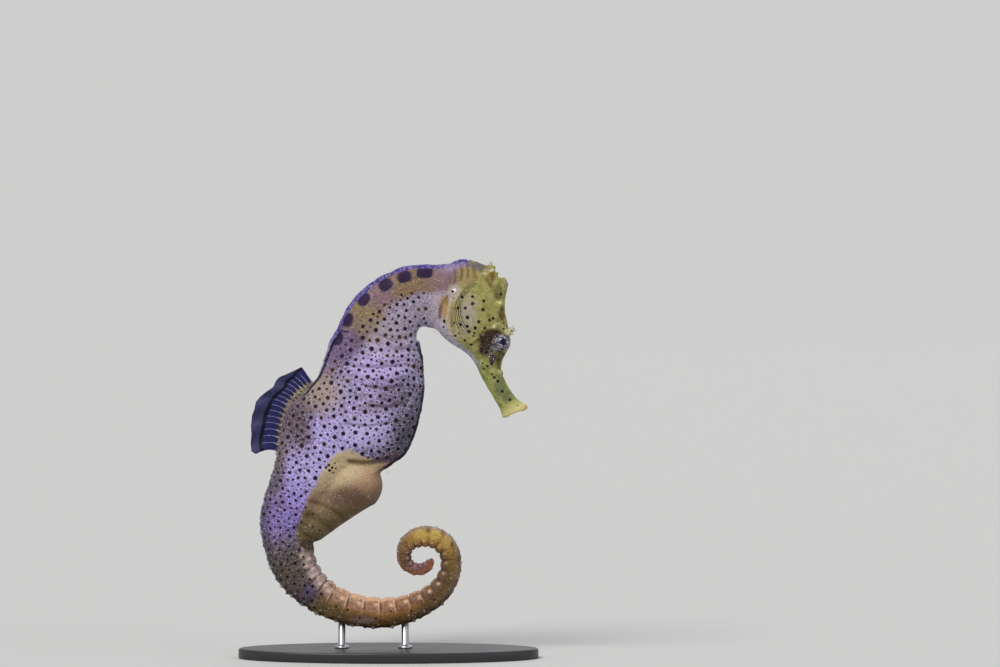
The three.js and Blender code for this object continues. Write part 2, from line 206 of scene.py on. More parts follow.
sky = bpy.data.worlds.new("sky")
sky.use_nodes = True
bpy.context.scene.world = sky
sky_nodes = sky.node_tree.nodes
sky_nodes["Background"].inputs["Color"].default_value = SKY_HIGH
up = sky_nodes.new("ShaderNodeTexCoord")
height = sky_nodes.new("ShaderNodeSeparateXYZ")
blend = sky_nodes.new("ShaderNodeValToRGB")
for stop, place, colour in zip(blend.color_ramp.elements, (SKY_BAND, SKY_TOP), (SKY_LOW, SKY_HIGH)):
    stop.position, stop.color = place, colour
sky.node_tree.links.new(up.outputs["Generated"], height.inputs[0])
sky.node_tree.links.new(height.outputs["Z"], blend.inputs["Fac"])
sky.node_tree.links.new(blend.outputs["Color"], sky_nodes["Background"].inputs["Color"])

for light in LIGHTS:
    add_light(*light)

eye_of_camera = bpy.data.cameras.new("camera")
eye_of_camera.lens, eye_of_camera.sensor_width = CAMERA_LENS, CAMERA_WIDTH
eye_of_camera.clip_start, eye_of_camera.clip_end = 0.01, 100.0
camera = bpy.data.objects.new("camera", eye_of_camera)
camera.location, camera.rotation_euler = CAMERA_PLACE, (pi / 2, 0, 0)
bpy.context.scene.collection.objects.link(camera)
bpy.context.scene.camera = camera
bpy.context.scene.view_settings.view_transform = "Standard"

# The stand's base: an oval plate of turned and milled steel, 3 mm thick, with a rounded upper
# edge, sprayed in satin black. Its flat underside stands on the shelf.

BASE_CORNER = 0.7
BASE_SIDES = 160
CORNER_STEPS = 6
SATIN_BLACK, WIPED_BLACK = (0.020, 0.020, 0.022), (0.024, 0.024, 0.026)


def turned(name, profile, sides, stretch=(1.0, 1.0), centre=(0.0, 0.0, 0.0)):
    """A closed turned form from [radius, height] rows, from its underside to its top."""
    points = [(centre[0] + r * stretch[0] * cos(2 * pi * i / sides),
               centre[1] + r * stretch[1] * sin(2 * pi * i / sides), centre[2] + h)
              for r, h in profile for i in range(sides)]
    faces = [[ring * sides + i, ring * sides + (i + 1) % sides,
              (ring + 1) * sides + (i + 1) % sides, (ring + 1) * sides + i]
             for ring in range(len(profile) - 1) for i in range(sides)]
    last = (len(profile) - 1) * sides
    faces += [list(range(sides))[::-1], list(range(last, last + sides))]
    return add_mesh(name, points, faces)


low, high = [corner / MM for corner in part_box("stand_base")]
half_length, half_width, thick = high.x, high.y, high.z
edge = [(1 - BASE_CORNER / half_length * (1 - cos(a)), thick - BASE_CORNER * (1 - sin(a)))
        for a in (i / CORNER_STEPS * pi / 2 for i in range(CORNER_STEPS + 1))]
plate_profile = [(0.99, 0.0), (1.0, 0.25), *edge, (0.9, thick), (0.5, thick)]
base = turned("stand_plate", plate_profile, BASE_SIDES, (half_length, half_width))
paint = Finish("satin_black_paint", {"Specular IOR Level": 0.45})
peel = paint.cloud(paint.place(), 0.5, 3.0)
wiped = paint.cloud(paint.place(), 9.0, 3.0)
paint.feed({"Base Color": paint.mix(wiped, SATIN_BLACK, WIPED_BLACK),
            "Roughness": 0.34 + wiped * 0.16, "Normal": paint.bump(peel, 0.012)})
base.data.materials.append(paint.material)
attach(base, "root")
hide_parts("stand_base")

# Two short rods of brushed steel, 2.2 mm thick, each in a low collar screwed to the plate. Their flat
# tops, with a small bevel, are pinned to the underside of the tail.

ROD = {"radius": 1.1, "collar": 2.2, "step": 0.5, "sides": 48}
ROD_REACH = 0.55
BRUSH_ACROSS, BRUSH_ALONG = 0.6, 9
BRUSHED_STEEL = (0.62, 0.63, 0.65)

steel = Finish("brushed_steel", {"Metallic": 1.0})
rod_x, rod_y, rod_z = steel.split(steel.place())
lines = steel.node("ShaderNodeCombineXYZ", None, {
    0: rod_x * BRUSH_ACROSS, 1: rod_y * BRUSH_ACROSS, 2: rod_z * BRUSH_ALONG})
strokes = steel.cloud(lines, 0.6, 4.0, 0.6)
steel.feed({"Base Color": steel.mix(strokes, BRUSHED_STEEL, tuple(c * 0.82 for c in BRUSHED_STEEL)),
            "Roughness": 0.24 + strokes * 0.16, "Normal": steel.bump(strokes, 0.01)})
for node in ("stand_rod_rear", "stand_rod_front"):
    low, high = [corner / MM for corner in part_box(node)]
    bottom, top = low.z - thick, high.z - thick + ROD_REACH
    r, collar, step = ROD["radius"], ROD["collar"], ROD["step"]
    profile = [(collar * 0.9, bottom), (collar, bottom + 0.1), (collar, bottom + step),
               (collar - 0.25, bottom + step + 0.25), (r + 0.35, bottom + step + 0.35),
               (r, bottom + step + 0.6), (r, top - 0.12), (r - 0.12, top)]
    rod = turned(node + "_steel", profile, ROD["sides"],
                 centre=((low.x + high.x) / 2, (low.y + high.y) / 2, thick))
    rod.data.materials.append(steel.material)
    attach(rod, "root")
    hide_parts(node)

# The skin: one unbroken hide over skull, neck, trunk, brood pouch and tail. Under it are bony
# rings, which show as low folds on the trunk and as plates and knobs on the tail.

# Spines of the body and of the head: a start, a heading and arcs of [length, turn].
BODY_SPINE = ((22.0, 109.65), 192.4, (
    (10, -11.9), (10, 39.2), (10, 41.6), (18, -10.6), (18, -33.1), (14, 20.0), (14, 23.5),
    (16, 42.2), (16, 33.5), (16, 28.6), (14, 28.6), (12, 52.7), (8, 58.5), (10, 75.7), (8, 95.9),
    (9, 125.4)))
HEAD_SPINE = ((25.7, 118.8), -96.9, ((14, 11.0), (12, 17.7), (8, -1.0), (19, 24.6)))
# Rows of [distance along, depth to the back, depth to the belly, half the width].
BODY_GIRTH = np.array((
    (0, 9.3, 8.4, 3.4), (8, 9.4, 9.6, 3.8), (16, 10.2, 8.9, 4.5), (22, 11.1, 9.7, 5.4),
    (28, 13.0, 10.7, 6.3), (34, 14.8, 13.0, 7.0), (40, 15.4, 15.3, 7.7), (48, 15.9, 17.1, 8.2),
    (56, 16.8, 18.5, 8.4), (62, 17.0, 16.2, 8.3), (68, 16.6, 14.0, 7.8), (72, 14.6, 13.2, 7.2),
    (76, 11.4, 12.2, 6.7), (80, 9.0, 11.2, 6.3), (86, 7.8, 10.3, 5.8), (94, 7.3, 9.6, 5.2),
    (104, 6.3, 8.2, 4.7), (112, 6.1, 6.3, 4.4), (124, 4.9, 4.9, 3.9), (140, 4.35, 4.35, 3.5),
    (155, 3.65, 3.65, 3.0), (167, 3.0, 3.0, 2.5), (181, 3.0, 3.0, 2.0), (189, 2.2, 2.2, 1.6),
    (198, 1.7, 1.7, 1.2), (201.5, 1.25, 1.25, 0.9), (202.8, 0.4, 0.4, 0.3)))
# For the head: depth to the throat, depth to the brow, half the width.
HEAD_GIRTH = np.array((
    (0, 4.5, 1.5, 1.8), (2.5, 5.8, 4.6, 2.7), (5, 7.4, 9.2, 3.7), (8, 9.0, 10.3, 4.5),
    (12, 10.1, 9.7, 5.1), (16, 11.3, 9.5, 5.5), (19, 11.0, 9.5, 5.5), (22, 8.6, 9.5, 5.2),
    (25, 5.6, 9.3, 4.4), (28, 4.1, 8.2, 3.6), (30, 3.7, 6.4, 3.1), (32, 3.5, 4.2, 2.6),
    (34, 3.4, 3.0, 2.4), (37, 3.0, 2.7, 2.2), (44, 2.8, 2.9, 2.1), (48, 4.1, 3.7, 2.3),
    (52, 4.1, 3.8, 2.2)))
# Stretches of the body that are traced one at a time, since the coiled tail passes itself.
STRETCHES = ((-4, 112), (104, 150), (144, 172), (168, 187), (182, 202.8))
HEAD_END = 52
BACK_EXPONENT, KEEL_EXPONENT, TAIL_EXPONENT, HEAD_EXPONENT = 2.9, 1.75, 3.3, 2.1
SQUARING = (60, 96)
MOUTH = ((41.7, 75.1), (34.4, 71.9))
MOUTH_FROM, MOUTH_SLIT, SLIT_AT = 30, (3.2, 0.95, 1.8), 0.48
POUCH = {"upper": (-10.1, 51.9), "lower": (-22.4, 39.6), "radii": (8.3, 4.6), "widths": (7.8, 5.2),
         "taper": 0.75}
EYE = {"centre": (34.0, 3.25, 94.6), "radius": 2.5, "axis": (0.17, 0.97, 0.15), "play": 0.04}
LID = {"ring": 2.52, "thick": 0.22, "out": 0.5, "fillet": 0.9, "edge": 0.12}
NECK_FILLET, POUCH_FILLET = 1.3, 0.9
POUCH_MIDDLE, POUCH_REACH = (-15, 46), 21
GRID_LOW, GRID_HIGH, GRID_DEEP = (-40.5, 8.0), (45.0, 122.0), 10.4
VOXEL = 0.26
FAR = 4.0


class Spine:
    """A curve of arcs in the plane y = 0."""

    def __init__(self, start, heading, arcs):
        (x, z), h, along, rows = start, radians(heading), 0.0, []
        for length, turn in arcs:
            k = radians(turn) / length
            rows.append((along, x, z, h, k))
            x += (sin(h + k * length) - sin(h)) / k
            z += (cos(h) - cos(h + k * length)) / k
            h, along = h + k * length, along + length
        self.knots = np.array(rows).T

    def at(self, along):
        start, x, z, h, k = self.knots
        i = np.clip(np.searchsorted(start, along, side="right") - 1, 0, len(start) - 1)
        now = h[i] + k[i] * (along - start[i])
        return (x[i] + (np.sin(now) - np.sin(h[i])) / k[i],
                z[i] + (np.cos(h[i]) - np.cos(now)) / k[i], now, k[i])

    def nearest(self, x, z, low, high):
        """Distance along, offset to the back and distance past the end, of each point."""
        marks = np.arange(low, high + 0.3, 0.5)
        at_x, at_z, _, _ = self.at(marks)
        along = np.empty(x.shape)
        for i in range(0, len(x), 20000):
            part = slice(i, i + 20000)
            gap = (x[part, None] - at_x) ** 2 + (z[part, None] - at_z) ** 2
            along[part] = marks[gap.argmin(1)]
        for _ in range(4):
            at_x, at_z, h, k = self.at(along)
            past = (x - at_x) * np.cos(h) + (z - at_z) * np.sin(h)
            off = (x - at_x) * np.sin(h) - (z - at_z) * np.cos(h)
            along = np.clip(along + past / np.maximum(1 + k * off, 0.3), low, high)
        at_x, at_z, h, _ = self.at(along)
        return (along, (x - at_x) * np.sin(h) - (z - at_z) * np.cos(h),
                (x - at_x) * np.cos(h) + (z - at_z) * np.sin(h))


def girth_at(rows, along):
    """The three girths at each distance, on a smooth curve through the rows."""
    at = rows[:, 0]
    i = np.clip(np.searchsorted(at, along), 1, len(at) - 1)
    before, after = np.maximum(i - 2, 0), np.minimum(i + 1, len(at) - 1)
    run = at[i] - at[i - 1]
    t = np.clip((along - at[i - 1]) / run, 0, 1)
    girths = []
    for column in rows.T[1:]:
        slope_in = (column[i] - column[before]) / (at[i] - at[before]) * run
        slope_out = (column[after] - column[i - 1]) / (at[after] - at[i - 1]) * run
        step = column[i] - column[i - 1]
        girths.append(column[i - 1] + t * (slope_in + t * (
            3 * step - 2 * slope_in - slope_out + t * (slope_in + slope_out - 2 * step))))
    return girths


def rise(value, low, high):
    t = np.clip((value - low) / (high - low), 0, 1)
    return t * t * (3 - 2 * t)


def section_gap(y, off, wide, deep, power, past=0.0):
    """Distance to a sweep whose section is a superellipse."""
    a = (np.abs(y) / wide) ** power
    b = (np.abs(off) / deep) ** power
    q = np.maximum((a + b) ** (1 / power), 0.2)
    steep = q ** (1 - power) * np.hypot(a / np.maximum(np.abs(y), 0.02),
                                        b / np.maximum(np.abs(off), 0.02))
    gap = (q - 1) / np.maximum(steep, 0.02)
    return np.clip(np.where(past > 0, np.hypot(np.maximum(gap, 0), past), gap), -FAR, FAR)


def join(one, other, soft):
    """A union of two distances, filleted over `soft` millimetres."""
    share = np.clip(0.5 + 0.5 * (other - one) / soft, 0, 1)
    return other + share * (one - other) - soft * share * (1 - share)


def ball_gap(x, y, z, centre, radii):
    p = [(c - m) / r for c, m, r in zip((x, y, z), centre, radii)]
    q = np.sqrt(p[0] ** 2 + p[1] ** 2 + p[2] ** 2) + 1e-6
    steep = np.sqrt(sum((c / r) ** 2 for c, r in zip(p, radii))) + 1e-6
    return q * (q - 1) / steep


def spike_gap(x, y, z, root, tip, root_radius, tip_radius):
    """Distance to a round spike between two points."""
    axis = [b - a for a, b in zip(root, tip)]
    t = np.clip(sum((c - a) * d for c, a, d in zip((x, y, z), root, axis))
                / sum(d * d for d in axis), 0, 1)
    gap = np.sqrt(sum((c - a - t * d) ** 2 for c, a, d in zip((x, y, z), root, axis)))
    return gap - root_radius - t * (tip_radius - root_radius)


body_spine, head_spine = Spine(*BODY_SPINE), Spine(*HEAD_SPINE)


def trace_body(x, z):
    """Along, off, past, depth on that side, half width and exponent, of points on y = 0."""
    best = None
    for low, high in STRETCHES:
        along, off, past = body_spine.nearest(x, z, low, high)
        back, belly, wide = girth_at(BODY_GIRTH, along)
        deep = np.where(off > 0, back, belly)
        beyond = np.abs(past) > 0.05
        lost = beyond & ~((high == STRETCHES[-1][1]) & (past > 0)) & ~((low < 0) & (past < 0))
        score = np.hypot(off, past) / deep + lost * 50
        square = rise(along, *SQUARING)
        own = np.where(off > 0, BACK_EXPONENT, KEEL_EXPONENT)
        power = own + square * (TAIL_EXPONENT - own)
        found = np.array((along, off, np.abs(past) * beyond, deep, wide, power, score))
        best = found if best is None else np.where(score < best[-1], found, best)
    return best[:-1]


def trace_head(x, z):
    along, off, past = head_spine.nearest(x, z, 0, HEAD_END)
    throat, brow, wide = girth_at(HEAD_GIRTH, along)
    return along, off, np.abs(past) * (np.abs(past) > 0.02), np.where(off > 0, throat, brow), wide


def body_gap(y, traced):
    along, off, past, deep, wide, power = traced
    return section_gap(y, off, wide, deep, power, past)


def head_gap(x, y, z, traced):
    along, off, past, deep, wide = traced
    hull = section_gap(y, off, wide, deep, HEAD_EXPONENT, past)
    (x0, z0), (x1, z1) = MOUTH
    run = hypot(x1 - x0, z1 - z0)
    cut = ((x - x0) * (z1 - z0) - (z - z0) * (x1 - x0)) / -run
    cut = np.where(along > MOUTH_FROM, cut, -FAR)
    hull = -join(-hull, -cut, 0.5)
    middle_x, middle_z = [(1 - SLIT_AT) * one + SLIT_AT * other for one, other in ((x0, x1), (z0, z1))]
    u = ((x - middle_x) * (x1 - x0) + (z - middle_z) * (z1 - z0)) / run
    slit = np.sqrt(sum((c / size) ** 2 for c, size in zip((u, y, cut), MOUTH_SLIT))) - 1
    return np.maximum(hull, -slit * 0.6)


def pouch_gap(x, y, z):
    (x0, z0), (x1, z1) = POUCH["upper"], POUCH["lower"]
    line = hypot(x1 - x0, z1 - z0)
    along = ((x - x0) * (x1 - x0) + (z - z0) * (z1 - z0)) / line
    place = np.clip(along / line, 0, 1) ** POUCH["taper"]
    radius = POUCH["radii"][0] + place * (POUCH["radii"][1] - POUCH["radii"][0])
    wide = POUCH["widths"][0] + place * (POUCH["widths"][1] - POUCH["widths"][0])
    off = ((x - x0) * (z1 - z0) - (z - z0) * (x1 - x0)) / line
    over = np.where(along < 0, along, np.maximum(0, along - line))
    q = np.sqrt((over / radius) ** 2 + (off / radius) ** 2 + (y / wide) ** 2)
    return np.clip((q - 1) * np.minimum(radius, wide), -FAR, FAR)


# Solid knobs of the head, as [kind, fillet, sizes]; a y above zero is on both sides.
HEAD_FORMS = (
    ("ball", 1.4, (25.4, 3.0, 103.4), (6.2, 3.0, 7.8)),
    ("ball", 0.8, (34.2, 0.0, 112.2), (1.6, 1.4, 2.0)),
    ("ball", 0.5, (33.4, 2.0, 106.3), (0.8, 1.3, 0.8)),
    ("ball", 0.6, (31.8, 3.4, 99.7), (1.1, 1.1, 0.7)),
    ("ball", 0.9, (30.6, 3.0, 90.6), (1.3, 1.0, 1.8)),
    ("ball", 0.7, (33.4, 1.3, 85.4), (0.9, 1.0, 1.0)),
    ("ball", 0.7, (40.1, 0.0, 75.3), (1.5, 1.7, 1.1)),
    ("ball", 0.6, (35.4, 0.0, 72.9), (0.9, 1.5, 0.7)),
    ("spike", 0.6, (35.4, 2.4, 97.0), (37.2, 2.9, 98.7), 1.05, 0.62),
    ("spike", 0.3, (36.9, 2.9, 98.4), (37.4, 3.1, 99.7), 0.5, 0.24),
    ("spike", 0.3, (36.9, 2.9, 98.2), (38.0, 3.3, 98.2), 0.5, 0.26),
    ("spike", 0.3, (36.4, 2.9, 97.6), (37.3, 3.5, 97.1), 0.45, 0.26),
    ("spike", 0.4, (30.4, 2.4, 90.6), (30.9, 4.0, 89.8), 0.6, 0.32),
    ("spike", 1.2, (30.0, 0.0, 112.0), (30.7, 0.0, 116.7), 3.0, 1.3),
    ("spike", 0.4, (30.5, 0.0, 116.9), (30.7, 0.0, 118.7), 0.8, 0.4),
    ("spike", 0.4, (31.2, 0.7, 116.2), (31.6, 0.9, 117.1), 0.7, 0.5),
    ("spike", 0.5, (31.9, 0.7, 114.6), (32.5, 0.9, 115.3), 0.8, 0.55),
    ("spike", 0.5, (29.4, 0.9, 116.0), (29.1, 1.1, 117.0), 0.7, 0.45),
    ("spike", 0.5, (20.5, 0.0, 118.2), (24.6, 0.0, 118.7), 0.7, 0.4),
    ("spike", 0.5, (24.6, 0.0, 118.9), (29.8, 0.0, 117.2), 0.6, 0.4),
)


def hide_gap(x, y, z, traced, traced_head):
    """Distance to the whole hide, and to its head, body and pouch alone."""
    whole = head = head_gap(x, y, z, traced_head)
    for kind, fillet, *sizes in HEAD_FORMS:
        gap = (ball_gap if kind == "ball" else spike_gap)(x, y, z, *sizes)
        whole = join(whole, gap, fillet)
    turned_in = [c - m for c, m in zip((x, y, z), EYE["centre"])]
    up = sum(c * a for c, a in zip(turned_in, EYE["axis"]))
    out = np.sqrt(np.maximum(sum(c * c for c in turned_in) - up * up, 0))
    whole = join(whole, np.hypot(out - LID["ring"], up - LID["out"]) - LID["thick"], LID["fillet"])
    whole = -join(-whole, np.sqrt(out * out + up * up) - EYE["radius"] - EYE["play"], LID["edge"])
    body, pouch = body_gap(y, traced), pouch_gap(x, y, z)
    return join(join(whole, body, NECK_FILLET), pouch, POUCH_FILLET), whole, body, pouch


def crust(gap, low, step):
    """Quads through the zero level of a grid of distances, one point in each crossed cell."""
    shape = np.array(gap.shape) - 1
    spots, owners, rings, count = [], [], [], 0
    inside = gap < 0
    for axis in range(3):
        lower, upper = [slice(None)] * 3, [slice(None)] * 3
        lower[axis], upper[axis] = slice(0, -1), slice(1, None)
        at = np.argwhere(inside[tuple(lower)] != inside[tuple(upper)])
        after = at.copy()
        after[:, axis] += 1
        near, far = gap[tuple(at.T)], gap[tuple(after.T)]
        spot = at.astype(float)
        spot[:, axis] += near / (near - far)
        ring = []
        for db, dc in ((-1, -1), (0, -1), (0, 0), (-1, 0)):
            cell = at.copy()
            cell[:, (axis + 1) % 3] += db
            cell[:, (axis + 2) % 3] += dc
            ring.append(np.ravel_multi_index(cell.T, shape))
            owners.append(ring[-1])
            spots.append(spot)
        ring = np.stack(ring, 1)
        rings.append(np.where((near < 0)[:, None], ring, ring[:, ::-1]))
    owners, spots = np.concatenate(owners), np.concatenate(spots)
    cells, inverse = np.unique(owners, return_inverse=True)
    number = np.bincount(inverse)
    points = np.stack([np.bincount(inverse, spots[:, k]) / number for k in range(3)], 1)
    quads = np.searchsorted(cells, np.concatenate(rings))
    return points * step + np.array(low), quads


grid_x = np.arange(GRID_LOW[0], GRID_HIGH[0], VOXEL)
grid_z = np.arange(GRID_LOW[1], GRID_HIGH[1], VOXEL)
grid_y = (np.arange(int(GRID_DEEP / VOXEL)) + 0.5) * VOXEL
flat_x, flat_z = [a.ravel() for a in np.meshgrid(grid_x, grid_z, indexing="ij")]
traced, traced_head = trace_body(flat_x, flat_z), trace_head(flat_x, flat_z)
near = (np.hypot(traced[1], traced[2]) < traced[3] + FAR) | (
    (np.abs(traced_head[1]) < traced_head[3] + FAR) & (traced_head[2] < FAR))
near |= np.hypot(flat_x - POUCH_MIDDLE[0], flat_z - POUCH_MIDDLE[1]) < POUCH_REACH
field = np.full((len(grid_y), len(flat_x)), FAR, np.float32)
for row, y in zip(field, grid_y):
    row[near] = hide_gap(flat_x[near], np.full(near.sum(), y), flat_z[near],
                         [t[near] for t in traced], [t[near] for t in traced_head])[0]
field = field.reshape(len(grid_y), len(grid_x), len(grid_z)).transpose(1, 0, 2)
field = np.concatenate((field[:, ::-1], field), 1)
hide, quads = crust(field, (GRID_LOW[0], -grid_y[-1], GRID_LOW[1]), VOXEL)
del field

# Even out the quads a little, without shrinking the thin spikes.
EVENING = (0.5, -0.52) * 3
ends = np.stack((quads, np.roll(quads, -1, 1)), -1).reshape(-1, 2)


def evened(values):
    """Each point's mean over its neighbours."""
    one, other = ends.T
    total = np.stack([np.bincount(one, values[other, k], len(values))
                      + np.bincount(other, values[one, k], len(values))
                      for k in range(values.shape[1])], 1)
    return total / (np.bincount(one, minlength=len(values))
                    + np.bincount(other, minlength=len(values)))[:, None]


for share in EVENING:
    hide += (evened(hide) - hide) * share

x, y, z = hide.T
traced, traced_head = trace_body(x, z), trace_head(x, z)
_, to_head, to_body, to_pouch = hide_gap(x, np.abs(y), z, traced, traced_head)
along, off, _, deep, wide, _ = traced
head_along, head_off, _, head_deep, _ = traced_head
head_share = rise(np.minimum(to_body, to_pouch) - to_head, -0.8, 1.2)
pouch_share = rise(np.minimum(to_body, to_head) - to_pouch, -0.6, 1.0)
back, belly, _ = girth_at(BODY_GIRTH, along)

# Where one bony ring ends and the next begins, along the body.
RING_EDGES = np.array((
    -5, 1, 6.5, 12, 17.2, 22.4, 27.6, 32.8, 38, 43.2, 48.4, 53.6, 58.8, 64, 68.6, 73.0, 77.4, 81.8,
    86.2, 90.6, 95.0, 99.4, 103.7, 108.0, 112.1, 115.8, 119.2, 123.4, 129.1, 134.6, 139.8, 144.8,
    149.4, 153.8, 157.9, 161.8, 165.5, 169.0, 172.4, 175.8, 179.1, 182.2, 185.1, 187.8, 190.3, 192.6,
    194.8, 196.9, 198.9, 200.8, 202.6))
ring = np.interp(along, RING_EDGES, np.arange(len(RING_EDGES)))
pitch = np.interp(along, (RING_EDGES[1:] + RING_EDGES[:-1]) / 2, np.diff(RING_EDGES))
share = ring - np.floor(ring)
to_edge = np.minimum(share, 1 - share) * pitch
tail = rise(along, 100, 122) * (1 - head_share)
size = np.minimum(1, deep / 4.5)
level = off / deep

# Relief in millimetres: the plates of the tail are deepest underneath, those of the trunk are faint.
TAIL_GROOVE, TAIL_RIM, TAIL_BARREL, TRUNK_GROOVE = 0.42, 0.26, 0.24, 0.12
GROOVE_HALF, RIM_BEFORE, FOLD_HALF = 0.34, 0.62, 0.55
# Smooth lumps as [width, seed, height].
TRUNK_LUMPS, HIDE_LUMPS, HIDE_GRAIN = (6.5, 3.3, 0.30), (2.6, 8.1, 0.16), (1.1, 5.7, 0.09)
before_edge = (1 - share) * pitch
under = 1 - rise(level, -0.35, 0.15)
lift = -TAIL_GROOVE * size * np.exp(-(to_edge / GROOVE_HALF) ** 2) * (0.25 + 0.75 * under)
lift += TAIL_RIM * size * np.exp(-((before_edge - RIM_BEFORE) / GROOVE_HALF) ** 2) * under
lift += TAIL_BARREL * size * np.sin(pi * share) ** 2 * (0.35 + 0.65 * under)
lift *= tail
bare = (1 - head_share) * (1 - pouch_share)
lift -= TRUNK_GROOVE * np.exp(-(to_edge / FOLD_HALF) ** 2) * (1 - tail) * bare * rise(along, 8, 16)


def lumps(grain, seed, tall):
    """Smooth noise over the hide, lumps `grain` millimetres wide and `tall` high."""
    shift = Vector((seed, seed * 0.7, 3.1 * seed))
    return tall * np.array([noise.noise(Vector(point) / grain + shift) for point in hide])


def line_gap(x, z, one, other):
    """Distance to a straight line between two points, seen from the side."""
    (x0, z0), (x1, z1) = one, other
    t = np.clip(((x - x0) * (x1 - x0) + (z - z0) * (z1 - z0))
                / ((x1 - x0) ** 2 + (z1 - z0) ** 2), 0, 1)
    return np.hypot(x - x0 - t * (x1 - x0), z - z0 - t * (z1 - z0))


def stroke_weight(path, radius):
    """1 on a path drawn on both flanks, falling off over `radius` millimetres."""
    gap = np.min([line_gap(x, z, *ends_of) for ends_of in zip(path, path[1:])], 0)
    return np.exp(-(gap / radius) ** 2)


lift += lumps(*TRUNK_LUMPS) * bare * (1 - 0.6 * tail) * rise(along, 8, 20)
lift += lumps(*HIDE_LUMPS) * (1 - 0.6 * pouch_share) * (0.6 + 0.4 * (1 - head_share))
lift += lumps(*HIDE_GRAIN) * (1 - 0.5 * pouch_share)
